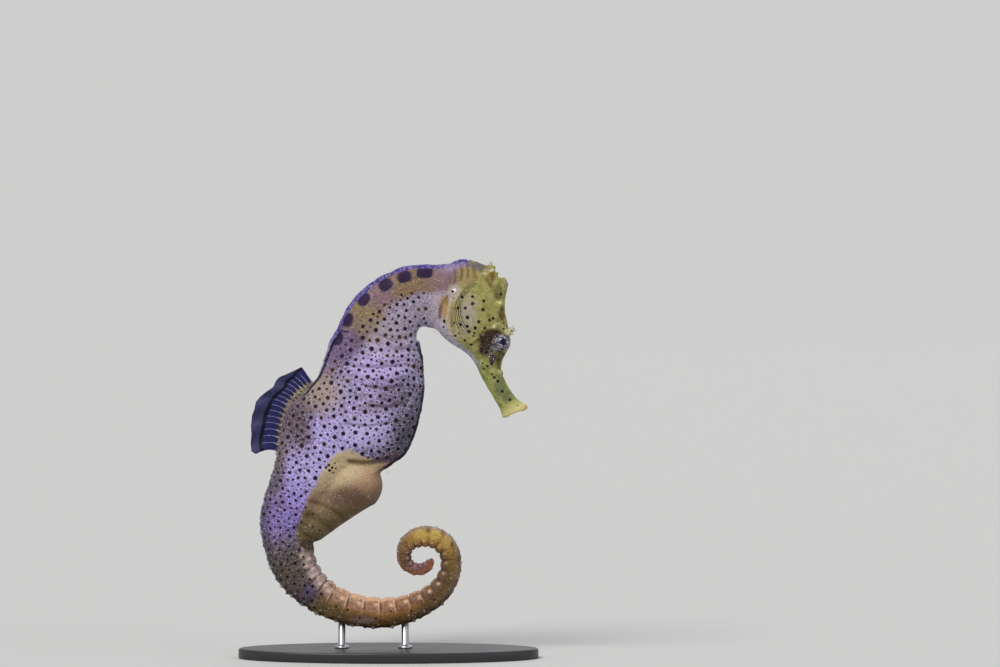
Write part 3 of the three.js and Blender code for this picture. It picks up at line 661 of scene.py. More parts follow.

# Grooves and ridges drawn on the flanks: height, radius, colour from -1, brown, to 1, pale, path. This
# colour is partly the hide's own and partly painted shade in the grooves and painted light on the ridges.
STROKES = (
    (-0.55, 0.8, -0.45, ((32.2, 114.6), (31.2, 112.2), (32.3, 109.4), (33.4, 107.6))),
    (-0.35, 0.5, -0.5, ((29.8, 113.6), (30.6, 111.4))),
    (-0.5, 0.8, -0.5, ((34.6, 106.0), (33.8, 103.8), (34.6, 101.8))),
    (-0.3, 0.6, -0.3, ((33.2, 103.4), (34.6, 101.6))),
    (0.4, 0.6, 0.9, ((32.8, 106.6), (34.0, 106.2))),
    (0.35, 0.7, 0.4, ((33.0, 104.2), (32.2, 101.6), (31.6, 99.8))),
    (0.25, 0.5, 0.35, ((31.0, 98.9), (32.0, 99.6), (33.4, 100.6))),
    (0.2, 0.5, 0.4, ((33.0, 100.0), (34.8, 98.9), (36.2, 98.4))),
    (0.3, 0.4, 0.5, ((24.4, 94.6), (26.4, 95.9), (28.6, 97.1))),
    (-0.2, 0.5, -0.4, ((24.8, 93.6), (27.2, 95.0))),
    (-0.3, 0.7, -0.3, ((26.6, 113.2), (23.2, 110.6), (20.6, 106.8), (19.0, 102.0), (19.4, 97.8))),
    (-0.3, 0.5, -0.3, ((18.9, 104.6), (18.5, 102.0), (18.9, 99.6))),
    (0.35, 0.35, 1.3, ((22.6, 109.8), (24.6, 111.3), (26.5, 112.5))),
    (0.25, 0.3, 1.0, ((21.2, 107.4), (22.4, 109.2), (24.2, 110.4))),
    (0.3, 0.55, 0.7, ((18.9, 107.2), (17.9, 104.4), (17.5, 101.6))),
    (-0.3, 0.5, -0.5, ((17.6, 108.4), (16.4, 106.4), (15.6, 104.2), (15.2, 102.2))),
    (-0.2, 0.35, -0.3, ((18.9, 108.0), (18.2, 105.6), (17.8, 103.2))),
    (0.3, 0.55, 0.5, ((16.0, 107.2), (15.1, 104.6), (14.5, 102.2))),
    (0.25, 0.45, 0.5, ((33.0, 86.4), (33.9, 85.0), (33.6, 84.2))),
    (-0.3, 0.6, -0.9, ((32.8, 89.6), (33.3, 88.0), (33.7, 86.9))),
    (-0.16, 0.8, 0.0, ((31.6, 84.4), (34.6, 79.2), (36.0, 76.6))),
    (0.12, 0.5, 0.2, ((30.4, 83.4), (33.4, 78.0))),
    (-0.35, 0.35, -0.55, ((19.9, 116.4), (20.3, 114.2), (19.8, 112.0))),
    (0.3, 0.38, 0.3, ((21.0, 117.0), (21.3, 114.8), (20.8, 112.6))),
    (-0.35, 0.33, -0.65, ((21.9, 117.4), (22.2, 115.2), (21.7, 113.4))),
    (0.3, 0.38, 0.4, ((22.9, 117.8), (23.2, 115.6), (22.9, 113.6))),
    (-0.35, 0.33, -0.6, ((23.8, 117.6), (24.0, 115.6), (23.8, 114.0))),
    (0.28, 0.38, 0.35, ((24.8, 117.3), (24.9, 115.6), (25.0, 114.2))),
    (-0.32, 0.35, -0.6, ((25.8, 117.0), (25.9, 115.6), (26.4, 114.0))),
    (0.25, 0.4, 0.3, ((26.9, 116.7), (27.0, 115.4), (27.8, 114.2))),
    (-0.25, 0.4, -0.4, ((28.2, 115.6), (28.8, 114.4))),
    (0.3, 0.5, 0.6, ((28.8, 116.4), (30.2, 116.0), (31.4, 116.2))),
    (-0.6, 0.8, -0.45, ((-22.6, 46.9), (-19.4, 45.9), (-16.6, 44.2), (-13.6, 42.2))),
    (0.35, 0.8, 0.2, ((-23.4, 44.9), (-20.2, 43.4), (-17.4, 41.6))),
    (-0.55, 0.75, -0.4, ((-24.0, 42.6), (-20.4, 41.0), (-17.4, 38.6))),
    (0.3, 0.7, 0.2, ((-25.4, 41.6), (-22.0, 39.2), (-19.4, 37.2))),
    (-0.6, 0.7, -0.5, ((-27.2, 39.4), (-24.6, 36.7), (-21.6, 35.6))),
    (-0.5, 0.9, -0.8, ((-11.5, 59.0), (-6.0, 58.6), (-2.2, 58.9), (2.0, 59.9))),
    (-0.5, 0.6, -0.6, ((-6.6, 81.6), (-1.0, 80.9), (4.4, 81.8))),
    (-0.5, 0.6, -0.7, ((-5.2, 75.8), (0.6, 75.4), (4.6, 76.6))),
    (-0.45, 0.6, -0.45, ((-10.0, 87.6), (-2.6, 87.2), (4.8, 88.0), (10.2, 86.8))),
    (-0.4, 0.6, -0.4, ((2.6, 92.4), (7.0, 93.3), (10.4, 92.6))),
    (-0.35, 0.6, -0.4, ((-3.6, 97.4), (1.4, 95.2), (6.4, 96.3))),
    (-0.4, 0.6, -0.45, ((-12.6, 70.4), (-6.0, 69.6), (0.6, 70.6))),
    (-0.4, 0.7, -0.5, ((3.0, 63.6), (6.0, 66.6), (7.2, 71.4))),
    (0.5, 0.9, 0.25, ((7.6, 78.4), (6.0, 73.6), (4.6, 69.4), (1.6, 65.6))),
    (0.3, 0.9, 0.12, ((-8.0, 84.6), (-1.0, 84.2), (6.6, 84.6))),
    (0.3, 0.9, 0.12, ((-7.0, 78.6), (0.0, 78.2), (4.0, 79.2))),
    (0.3, 0.9, 0.1, ((-3.0, 90.0), (4.6, 90.4), (9.8, 89.6))),
)
tint = np.zeros(len(x))
for height_of, radius, shade, path in STROKES:
    weight = stroke_weight(path, radius) * rise(np.abs(y), 0.6, 1.8)
    lift += height_of * weight
    tint += shade * weight

mesh = bpy.data.meshes.new("hide")
mesh.vertices.add(len(hide))
mesh.loops.add(quads.size)
mesh.polygons.add(len(quads))
mesh.vertices.foreach_set("co", (hide * MM).ravel())
mesh.loops.foreach_set("vertex_index", quads.astype(np.int32).ravel())
mesh.polygons.foreach_set("loop_start", np.arange(0, quads.size, 4, dtype=np.int32))
mesh.polygons.foreach_set("use_smooth", np.ones(len(quads), bool))
mesh.update(calc_edges=True)
normals = np.empty(hide.size)
mesh.vertex_normals.foreach_get("vector", normals)
normals = normals.reshape(-1, 3)
hide += normals * lift[:, None]

# Knobs: small domes, most with a white tip, on the corners of the tail's rings and along the back.
KNOB_SEED, BACK_DOTS, TAIL_DOTS, FIRST_KNOBBED = 11, 120, 170, 21
BACK_DOTS_ALONG, TAIL_DOTS_ALONG = (72, 128), (92, 200)
FULL_GIRTH, LEAST_CORNER, KNOB_JITTER = 4.4, 0.55, 0.16
# Knobs of a ring, as angle round its section, width and height.
CORNER_KNOB, SIDE_KNOB, BETWEEN_KNOB = (66, 0.75, 0.70), (26, 0.5, 0.26), (74, 0.6, 0.34)
KNUCKLE, KEEL_KNOB = (-20, 1.0, 0.40), (-72, 0.75, 0.26)
# Fleshy lumps beside the vent, as [x, z], with how far out, how wide and how high they are.
VENT_LUMPS = ((-25.5, 33.2), (-23.9, 29.7), (-22.8, 26.9), (-21.2, 24.9), (-18.8, 22.3), (-16.6, 20.3))
VENT_OUT, VENT_WIDE, VENT_HIGH = 3.6, 1.15, 0.42
knob_tree = KDTree(len(hide))
for number, point in enumerate(hide):
    knob_tree.insert(point, number)
knob_tree.balance()
chance = np.random.RandomState(KNOB_SEED)
white = np.zeros(len(x))
# Where the knobs are glossy; the hide's colour gets a painted highlight there too.
gloss = np.zeros(len(x))


def on_hide(at_along, angle, flank):
    """The place on the hide at a distance along the body and an angle of its section."""
    at_x, at_z, h, _ = body_spine.at(at_along)
    to_back, to_belly, half = girth_at(BODY_GIRTH, np.array([at_along]))
    reach = (to_back if sin(angle) > 0 else to_belly)[0]
    power = 2 / (BACK_EXPONENT + (TAIL_EXPONENT - BACK_EXPONENT) * rise(at_along, *SQUARING))
    out = reach * abs(sin(angle)) ** power * (1 if sin(angle) > 0 else -1)
    return (at_x + sin(h) * out, flank * half[0] * abs(cos(angle)) ** power, at_z - cos(h) * out)


def add_knob(place, radius, tall, tip=1.0, shine=0.0):
    _, nearest, _ = knob_tree.find(place)
    centre = hide[nearest].copy()
    for _, number, gap in knob_tree.find_range(centre, radius * 2.2):
        weight = np.exp(-(gap / radius) ** 2 * 1.6)
        knob_lift[number] += tall * weight
        white[number] = max(white[number], tip * np.exp(-(gap / radius) ** 2 * 2.6))
        gloss[number] = max(gloss[number], shine * weight)


def ring_knob(kind, at_along, scale, flank, turn=0.0, grown=1.0, **look):
    angle, wide_of, tall_of = kind
    add_knob(on_hide(at_along, radians(angle + turn), flank), wide_of * scale, tall_of * scale * grown,
             **look)


knob_lift = np.zeros(len(x))
for edge_along, ring_size in zip(RING_EDGES[FIRST_KNOBBED:], np.diff(RING_EDGES)[FIRST_KNOBBED - 1:]):
    ring_scale = min(1.0, girth_at(BODY_GIRTH, np.array([edge_along]))[0][0] / FULL_GIRTH)
    for flank in (-1, 1):
        jitter = chance.uniform(-KNOB_JITTER, KNOB_JITTER, 8) * ring_size
        at_along = edge_along - 0.3 * ring_size
        corner = max(ring_scale, LEAST_CORNER)
        ring_knob(CORNER_KNOB, at_along + jitter[0], corner, flank,
                  grown=chance.uniform(0.6, 1.3), tip=0.9)
        ring_knob(SIDE_KNOB, at_along + jitter[1], ring_scale, flank, turn=30 * jitter[2], tip=0.3)
        ring_knob(BETWEEN_KNOB, at_along - 0.45 * ring_size + jitter[6], ring_scale, flank,
                  turn=20 * jitter[7], grown=chance.uniform(0.5, 1.4), tip=0.2)
        ring_knob(KNUCKLE, at_along + jitter[3] * 0.4, ring_scale, flank, tip=0.0, shine=1.0)
        ring_knob(KEEL_KNOB, at_along - 0.2 * ring_size, ring_scale, flank, tip=0.0, shine=0.4)
for lump_x, lump_z in VENT_LUMPS:
    for flank in (-1, 1):
        add_knob((lump_x, flank * VENT_OUT, lump_z), VENT_WIDE, VENT_HIGH, 0.0, 1.0)
for _ in range(BACK_DOTS):
    at_along = chance.uniform(*BACK_DOTS_ALONG)
    angle = radians(90 - abs(chance.normal(0, 17)))
    dot = chance.uniform(0.24, 0.36)
    add_knob(on_hide(at_along, angle, chance.choice((-1, 1))), dot, dot * 1.2, 0.85)
for _ in range(TAIL_DOTS):
    at_along = chance.uniform(*TAIL_DOTS_ALONG)
    small = min(1.0, 0.45 + 40 / at_along)
    add_knob(on_hide(at_along, radians(chance.uniform(-10, 85)), chance.choice((-1, 1))),
             0.27 * small, 0.14 * small, 0.4)
hide += normals * knob_lift[:, None]
mesh.vertices.foreach_set("co", (hide * MM).ravel())
mesh.update()

# The cream of the pouch ends on this line: its corners are [x, z] on the flank.
CREAM_EDGE = np.array((
    (-15.2, 61.8), (-11.6, 62.7), (-8.0, 60.6), (-4.4, 59.1), (2.4, 59.1), (4.5, 50.0),
    (-2.5, 38.0), (-17.5, 29.4), (-27.4, 34.0), (-27.5, 38.5), (-26.3, 42.7), (-24.8, 47.3),
    (-21.6, 53.3), (-18.8, 57.9)))


def inside_line(line, x, z):
    """Distance inside a closed line, below zero outside it."""
    gap, within = np.full(len(x), 1e9), np.zeros(len(x), bool)
    for (x0, z0), (x1, z1) in zip(line, np.roll(line, -1, 0)):
        gap = np.minimum(gap, line_gap(x, z, (x0, z0), (x1, z1)))
        within ^= ((z0 > z) != (z1 > z)) & (x < (x1 - x0) * (z - z0) / (z1 - z0 + 1e-12) + x0)
    return np.where(within, gap, -gap)


cream = inside_line(CREAM_EDGE, x, z)

# Dark blotches beside the ridge of the neck: [along, towards the back], with half sizes.
BLOTCHES = ((10.9, 7.2), (14.9, 7.1), (19.0, 7.6), (23.8, 9.3), (28.2, 11.2), (33.0, 13.1))
BLOTCH_HALF, BLOTCH_SQUARE = (2.3, 1.9), 2.5
_, _, _, bend = body_spine.at(along)
blotch = np.full(len(x), -9.0)
for at_along, at_off in BLOTCHES:
    q = (np.abs((along - at_along) * (1 + bend * off) / BLOTCH_HALF[0]) ** BLOTCH_SQUARE
         + np.abs((off - at_off) / BLOTCH_HALF[1]) ** BLOTCH_SQUARE) ** (1 / BLOTCH_SQUARE)
    blotch = np.maximum(blotch, (1 - q) * BLOTCH_HALF[1])

# How far towards the back the colours of the back begin, and those of the underside end, as
# [distance along, level, softness].
BACK_FROM = np.array(((0, .10, .10), (28, .12, .10), (36, .40, .16), (44, .62, .2), (58, .50, .25),
                      (72, .62, .25), (86, .66, .2), (96, .62, .25), (106, .45, .35),
                      (118, .30, .35), (126, .15, .35), (150, .15, .35), (158, .3, .3),
                      (166, .6, .25), (176, .74, .2), (190, .7, .2), (203, .3, .4))).T
UNDER_TO = np.array(((0, -.75, .2), (30, -.8, .15), (45, -.62, .25), (64, -.5, .3), (90, -.7, .2),
                     (104, -.55, .2), (118, -.3, .25), (130, -.12, .2), (160, -.2, .25),
                     (176, -.45, .25), (203, -.1, .3))).T
STRIP_WIDTH = ((0, 30, 38, 46, 56), (1.3, 1.2, 0.65, 0.45, 0.4))
backness = (level - np.interp(along, *BACK_FROM[:2])) / np.interp(along, BACK_FROM[0], BACK_FROM[2])
underness = (np.interp(along, *UNDER_TO[:2]) - level) / np.interp(along, UNDER_TO[0], UNDER_TO[2])

strip_width = np.interp(along, *STRIP_WIDTH)
HIDE_MARKS = {
    "along": along, "backness": backness, "underness": underness, "ridge": (back - off) / strip_width,
    "beside_strip": back - off - strip_width, "from_keel": belly + off, "head": head_share,
    "cream": cream, "blotch": blotch, "white": white, "gloss": gloss, "tint": tint,
    "to_edge": to_edge, "before_edge": before_edge, "tail": tail, "head_along": head_along,
    "throat": head_off / head_deep, "under": under}
for name, values in HIDE_MARKS.items():
    mesh.attributes.new(name, "FLOAT", "POINT").data.foreach_set("value", values.astype(np.float32))

# Round black spots, each kept as its centre and radius on the faces round it, so that its edge
# is sharper than the mesh. [x, z, radius] of the single spots of head, snout and pouch.
HEAD_SPOTS = (
    (22.1, 108.3, 0.45), (25.2, 108.3, 0.45), (25.4, 106.2, 0.58), (23.0, 105.0, 0.52),
    (20.8, 104.9, 0.45), (28.7, 107.0, 0.48), (28.3, 104.5, 0.55), (23.7, 102.1, 0.6),
    (21.7, 99.9, 0.45), (23.8, 99.6, 0.45), (27.1, 100.7, 0.5), (30.3, 101.3, 0.46),
    (31.4, 101.9, 0.46), (26.1, 98.9, 0.48), (28.9, 98.9, 0.42), (24.2, 97.9, 0.52),
    (19.8, 100.6, 0.32), (21.2, 97.3, 0.28), (25.8, 97.4, 0.38), (20.2, 96.7, 0.38),
    (27.7, 96.7, 0.38), (22.9, 95.4, 0.42), (24.7, 94.0, 0.36), (19.4, 109.9, 0.38),
    (33.8, 109.1, 0.46), (34.6, 100.5, 0.34), (35.4, 99.4, 0.32), (16.8, 101.1, 0.5),
    (16.5, 99.2, 0.32), (33.7, 104.4, 0.35), (28.1, 88.5, 0.25), (28.6, 86.8, 0.32),
    (31.1, 85.1, 0.32), (31.7, 84.2, 0.45), (32.8, 83.2, 0.46), (34.2, 80.0, 0.44),
    (36.4, 77.5, 0.38), (38.8, 75.8, 0.22), (27.9, 84.5, 0.28), (29.8, 87.5, 0.34),
    (30.3, 97.4, 0.42), (32.5, 98.0, 0.28), (28.4, 95.0, 0.46), (30.3, 95.4, 0.36),
    (30.7, 96.4, 0.22), (29.4, 96.1, 0.22), (27.9, 92.8, 0.38), (27.8, 92.0, 0.38),
    (29.9, 93.0, 0.36), (29.4, 91.6, 0.46), (30.9, 92.0, 0.32), (31.9, 89.9, 0.38),
    (33.0, 89.4, 0.34), (30.8, 88.3, 0.42), (30.7, 90.6, 0.34), (36.7, 96.6, 0.26),
    (37.0, 98.1, 0.2), (34.6, 98.6, 0.28), (34.5, 91.2, 0.3), (19.6, 107.9, 0.22),
    (25.6, 96.6, 0.3))
POUCH_SPOTS = ((-17.6, 58.2, 0.4), (-16.6, 57.4, 0.4), (-18.4, 57.4, 0.35), (-17.4, 56.6, 0.42),
               (-15.8, 58.6, 0.3), (-15.5, 57.2, 0.25), (-16.2, 55.8, 0.25), (-22.5, 43.4, 0.4),
               (-22.2, 39.6, 0.35), (-26.0, 41.0, 0.35), (-20.4, 38.6, 0.25), (-24.6, 45.4, 0.3))
# Sorts of scattered spots: radius, spread of it, clear space between, first and last place along.
SPOT_SORTS = ((0.60, 0.09, 1.5, 24, 78), (0.45, 0.09, 1.0, 11, 99), (0.30, 0.07, 0.8, 18, 99),
              (0.18, 0.05, 0.6, 34, 99), (0.44, 0.08, 1.2, 97, 121), (0.24, 0.06, 0.85, 97, 121),
              (0.29, 0.07, 2.6, 121, 158))
SPOT_TRIES, SPOT_NEAR = 9000, 7
TOP_OF_SPOTS = ((10, 22, 30, 36, 48, 60, 80, 121, 125, 160),
                (.15, .3, .5, .75, .85, .9, .95, .9, .65, .6))
FOOT_OF_SPOTS = ((10, 30, 100, 112, 125, 160), (-1, -1, -0.95, -0.4, -0.25, 0.0))
faces = hide[quads].mean(1)
face = {name: values[quads].mean(1) for name, values in (
    ("along", along), ("level", level), ("head", head_share), ("cream", cream))}
allowed = ((face["level"] < np.interp(face["along"], *TOP_OF_SPOTS))
           & (face["level"] > np.interp(face["along"], *FOOT_OF_SPOTS))
           & (face["head"] < 0.3) & (face["cream"] < -0.5))
spots, radii = [], []
flanks = {flank: np.flatnonzero(faces[:, 1] * flank > 0.3) for flank in (-1, 1)}
for spot_x, spot_z, radius in HEAD_SPOTS + POUCH_SPOTS:
    for flank in (-1, 1):
        shift = (0, 0) if flank < 0 else chance.uniform(-0.5, 0.5, 2)
        here = flanks[flank]
        gap = np.hypot(faces[here, 0] - spot_x - shift[0], faces[here, 2] - spot_z - shift[1])
        score = gap - 0.15 * np.abs(faces[here, 1])
        spots.append(faces[here[score.argmin()]])
        radii.append(radius)
for radius, spread, clear, low, high in SPOT_SORTS:
    here = np.flatnonzero(allowed & (face["along"] > low) & (face["along"] < high))
    for number in chance.permutation(here)[:SPOT_TRIES]:
        own = radius + chance.uniform(-spread, spread)
        gap = np.sqrt(((np.array(spots) - faces[number]) ** 2).sum(1)) - np.array(radii) - own
        if gap.min() > clear:
            spots.append(faces[number])
            radii.append(own)
spots, radii = np.array(spots), np.array(radii)
spot_tree = KDTree(len(spots))
for number, spot in enumerate(spots):
    spot_tree.insert(spot, number)
spot_tree.balance()
owner = np.array([min((gap - radii[number], number)
                      for _, number, gap in spot_tree.find_n(at, SPOT_NEAR))[1] for at in faces])
mesh.attributes.new("spot", "FLOAT_VECTOR", "FACE").data.foreach_set(
    "vector", spots[owner].astype(np.float32).ravel())
mesh.attributes.new("spot_radius", "FLOAT", "FACE").data.foreach_set(
    "value", radii[owner].astype(np.float32))

hide_piece = bpy.data.objects.new("hide", mesh)
bpy.context.scene.collection.objects.link(hide_piece)

# Colours along the body, as [distance along, colour]: on the flank, on the back, underneath, and
# of the fine pale net that lies over them.
FLANK = ((0, (.31, .26, .33)), (16, (.30, .25, .31)), (27, (.31, .27, .35)), (34, (.33, .28, .40)),
         (40, (.36, .30, .54)), (50, (.32, .27, .44)), (58, (.34, .29, .50)), (66, (.40, .34, .64)),
         (78, (.40, .34, .66)), (86, (.28, .215, .56)), (92, (.20, .145, .43)),
         (97, (.15, .105, .31)), (100.5, (.10, .08, .12)), (104, (.050, .037, .038)),
         (111, (.076, .055, .034)), (114, (.078, .058, .060)), (117.5, (.08, .055, .13)),
         (121, (.13, .08, .035)), (126, (.20, .11, .035)), (132, (.30, .145, .05)),
         (140, (.36, .165, .055)), (147, (.30, .135, .045)), (154, (.13, .065, .022)),
         (163, (.10, .06, .02)), (168, (.15, .09, .025)), (175, (.32, .185, .035)),
         (184, (.33, .19, .045)), (188, (.17, .095, .04)), (192, (.11, .055, .03)),
         (197, (.19, .08, .07)), (202.8, (.19, .07, .03)))
BACK = ((0, (.21, .13, .15)), (6, (.21, .13, .12)), (9, (.21, .14, .060)), (17, (.22, .14, .060)),
        (19.5, (.23, .14, .15)), (22.5, (.22, .13, .14)), (25, (.24, .17, .065)),
        (30, (.20, .135, .07)), (33, (.13, .08, .12)), (38, (.13, .08, .17)), (44, (.18, .12, .17)),
        (50, (.30, .21, .155)), (57, (.24, .165, .145)), (62, (.14, .095, .09)),
        (70, (.11, .075, .08)), (77, (.20, .145, .15)), (84, (.12, .085, .12)),
        (90, (.09, .065, .12)), (96, (.085, .06, .13)), (102, (.055, .045, .055)),
        (110, (.065, .055, .035)), (118, (.07, .05, .075)),
        (121, (.10, .066, .034)), (125, (.10, .062, .022)), (134, (.078, .038, .009)),
        (146, (.078, .041, .010)), (158, (.10, .065, .03)),
        (168, (.20, .14, .10)), (178, (.32, .22, .16)), (188, (.22, .13, .09)),
        (196, (.24, .09, .03)), (202.8, (.26, .075, .02)))
# Underneath: the dark grey under the trunk is partly the hide's grey and partly painted shade, and the
# pale pink under the tail is partly painted light.
UNDER = ((0, (.31, .27, .40)), (30, (.30, .26, .38)), (40, (.20, .18, .26)), (52, (.13, .115, .16)),
         (64, (.11, .09, .12)), (90, (.12, .09, .09)), (100, (.13, .10, .08)), (107, (.19, .14, .12)),
         (114, (.38, .28, .27)), (120, (.38, .25, .20)), (126, (.37, .21, .14)),
         (133, (.34, .18, .11)), (145, (.33, .17, .10)), (152, (.22, .11, .07)),
         (160, (.15, .09, .06)), (167, (.12, .07, .04)), (173, (.17, .09, .03)),
         (179, (.30, .165, .055)), (185, (.24, .12, .045)), (189, (.13, .065, .045)),
         (192, (.10, .05, .045)), (197, (.24, .12, .16)), (202.8, (.22, .10, .10)))
NET = ((0, (.52, .44, .60)), (30, (.52, .43, .68)), (44, (.56, .46, .88)), (78, (.58, .49, .90)),
       (88, (.44, .36, .76)), (99, (.33, .28, .44)), (104, (.27, .23, .18)), (114, (.25, .20, .15)),
       (118, (.23, .18, .30)), (122, (.27, .18, .08)), (140, (.38, .20, .075)),
       (156, (.22, .13, .05)), (176, (.38, .25, .08)), (202.8, (.30, .16, .10)))

# Single colours, by what they are on.
HUES = {
    "trunk_shadow": (.085, .06, .105), "tail_shadow": (.05, .03, .02), "trunk_cloud": (.14, .11, .17),
    "tail_cloud": (.06, .04, .02), "neck_brown": (.13, .075, .045), "fleck": (.05, .035, .07),
    "crease_shade": (.040, .020, .012), "knuckle_highlight_pink": (.60, .45, .41), "knuckle_highlight_tan": (.88, .56, .35),
    "rim_highlight_tan": (.76, .46, .28), "rim_highlight_orange": (.62, .32, .13), "plate_shadow": (.075, .04, .022),
    "pouch_cream": (.48, .37, .22), "pouch_peach": (.44, .255, .155), "pouch_tan_and_shade": (.22, .135, .085),
    "pouch_olive_and_shade": (.115, .085, .038), "pouch_grain": (.70, .55, .36), "pouch_shadow": (.16, .11, .06),
    "blotch": (.020, .008, .042), "strip_blue": (.045, .032, .19), "strip_pale": (.20, .155, .37),
    "strip_grey": (.55, .48, .62), "crown_violet": (.16, .12, .32), "navy": (.003, .004, .028),
    "yellow": (.29, .27, .085), "straw": (.37, .335, .13), "olive": (.165, .145, .035),
    "moss": (.13, .11, .03), "tan": (.30, .22, .10), "snout_green": (.185, .21, .055),
    "snout_lime": (.32, .34, .10), "throat_lilac": (.33, .30, .42), "throat_grey": (.54, .51, .52),
    "ring_dark": (.045, .036, .045), "ring_silver": (.34, .32, .36), "brow_tan": (.42, .38, .20),
    "brow_pink": (.62, .56, .50), "granule_glint": (.66, .64, .42), "head_shadow": (.10, .085, .022),
    "streak_dark": (.075, .065, .06), "streak_white": (.86, .86, .90), "snout_band": (.10, .115, .060),
    "mouth_cream": (.62, .54, .23), "lip": (.58, .33, .18), "dusk_and_shade": (.085, .060, .095),
    "ochre_and_shade": (.115, .070, .020), "pale_lilac_and_light": (.60, .54, .80), "pale_straw_and_light": (.56, .49, .24),
    "fold_dark": (.13, .095, .035), "fold_pale": (.62, .56, .26), "ink": (.012, .007, .016),
    "rust": (.045, .024, .016), "halo": (.24, .15, .07), "white_grit_and_glint": (.86, .84, .86),
    "blue_grit_and_glint": (.50, .78, .88), "white_tip": (.78, .74, .72)}

# Cloudy zones of the flank as [x, z, half length, half height, share, colour].
ZONES = (
    (14.9, 114.0, 3.6, 3.4, 0.8, (.23, .14, .155)), (18.8, 116.6, 3.0, 2.0, 0.7, (.28, .20, .30)),
    (-12.5, 94.0, 4.6, 4.6, 0.9, (.14, .09, .19)), (-20.0, 79.0, 6.0, 5.0, 0.75, (.34, .26, .21)),
    # The dark grey zones at the front of the trunk, x 3 to 10, are partly its grey and partly painted
    # shade.
    (-26.4, 69.0, 3.6, 7.0, 1.0, (.10, .065, .07)), (3.0, 79.4, 5.6, 3.4, 0.9, (.11, .09, .12)),
    (-2.5, 88.6, 7.0, 3.6, 0.35, (.58, .48, .90)), (-6.0, 68.0, 6.0, 4.5, 0.5, (.60, .54, .92)),
    (6.2, 66.0, 4.4, 8.0, 1.4, (.085, .078, .095)), (9.8, 75.0, 2.4, 5.0, 0.9, (.11, .10, .14)),
    (-1.5, 98.4, 6.0, 3.6, 0.5, (.32, .25, .24)), (-33.0, 55.0, 2.4, 9.0, 0.9, (.11, .085, .095)),
    (-5.0, 75.2, 3.4, 1.6, 0.7, (.20, .155, .17)), (-13.0, 84.0, 3.0, 1.6, 0.6, (.20, .15, .19)),
    # The dark band at z 59.8 is a painted shadow where the trunk's edge overhangs the pouch.
    (-9.0, 78.8, 2.6, 1.2, 0.6, (.17, .13, .16)), (3.0, 59.8, 6.0, 2.2, 1.0, (.10, .068, .060)),
    (5.0, 84.0, 3.0, 1.2, 0.6, (.16, .13, .19)),
    # The three yellow ovals on the coil are partly its yellow and partly painted highlights.
    (9.8, 37.2, 1.9, 1.4, 0.55, (.58, .42, .10)), (14.0, 37.2, 2.0, 1.3, 0.55, (.62, .46, .12)),
    (17.9, 35.0, 1.6, 1.8, 0.4, (.52, .38, .13)), (12.0, 38.4, 0.7, 0.8, 0.6, (.11, .065, .03)),
    (16.3, 37.8, 0.6, 0.8, 0.6, (.11, .065, .03)), (-7.7, 11.6, 3.6, 1.1, 0.8, (.17, .11, .095)),
    (19.1, 34.2, 0.4, 0.9, 0.8, (.06, .03, .012)),
    (21.2, 29.6, 0.4, 1.4, 0.7, (.06, .03, .012)), (-24.6, 31.6, 1.4, 2.6, 0.5, (.34, .25, .23)))
# The same for the head, and for the crown and nape that lie across its seam with the neck.
HEAD_ZONES = (
    (23.6, 102.6, 2.9, 4.4, 0.6, (.38, .32, .31)), (22.4, 98.6, 2.4, 2.6, 0.5, (.37, .32, .26)),
    (24.5, 107.4, 2.4, 2.4, 0.35, (.35, .30, .24)), (19.6, 98.6, 2.6, 3.4, 0.5, (.38, .31, .20)),
    (17.6, 104.0, 2.4, 6.0, 0.6, (.46, .38, .28)), (19.4, 103.2, 0.9, 4.6, 0.7, (.33, .23, .085)),
    (27.0, 117.1, 2.3, 1.1, 0.85, (.12, .115, .10)),
    (30.9, 114.6, 1.0, 1.4, 0.85, (.17, .10, .015)), (29.8, 113.6, 1.0, 1.0, 0.7, (.22, .14, .04)),
    (31.1, 116.3, 0.7, 0.5, 0.8, (.56, .53, .42)), (28.6, 115.3, 0.9, 0.4, 0.7, (.52, .47, .30)),
    # Painted shade in the hollow at (32.9, 109.8) and the valley at (34.4, 103.6); white painted
    # highlights on the bumps at (33.4, 106.5) and (31.8, 99.4).
    (30.6, 118.6, 0.6, 0.8, 0.8, (.50, .48, .44)), (32.9, 109.8, 1.2, 2.2, 0.7, (.12, .105, .04)),
    (33.4, 106.3, 1.3, 0.9, 0.8, (.46, .46, .10)), (33.4, 106.5, 0.45, 0.4, 0.9, (.80, .78, .66)),
    (34.4, 103.6, 0.8, 2.0, 0.8, (.17, .11, .028)), (35.4, 112.3, 0.6, 1.4, 0.8, (.36, .26, .30)),
    (30.2, 95.2, 3.3, 3.0, 1.0, (.050, .027, .018)), (31.8, 97.3, 2.6, 1.3, 1.0, (.052, .027, .016)),
    (29.0, 92.6, 2.0, 2.2, 0.9, (.040, .024, .020)), (33.6, 90.4, 2.4, 1.8, 0.85, (.075, .060, .022)),
    (33.1, 88.0, 1.0, 1.6, 0.85, (.13, .11, .012)),
    (31.8, 99.4, 0.5, 0.45, 0.9, (.66, .68, .50)), (33.0, 99.8, 1.3, 0.9, 0.35, (.46, .44, .11)),
    (27.9, 88.8, 0.5, 0.9, 0.6, (.60, .60, .30)))
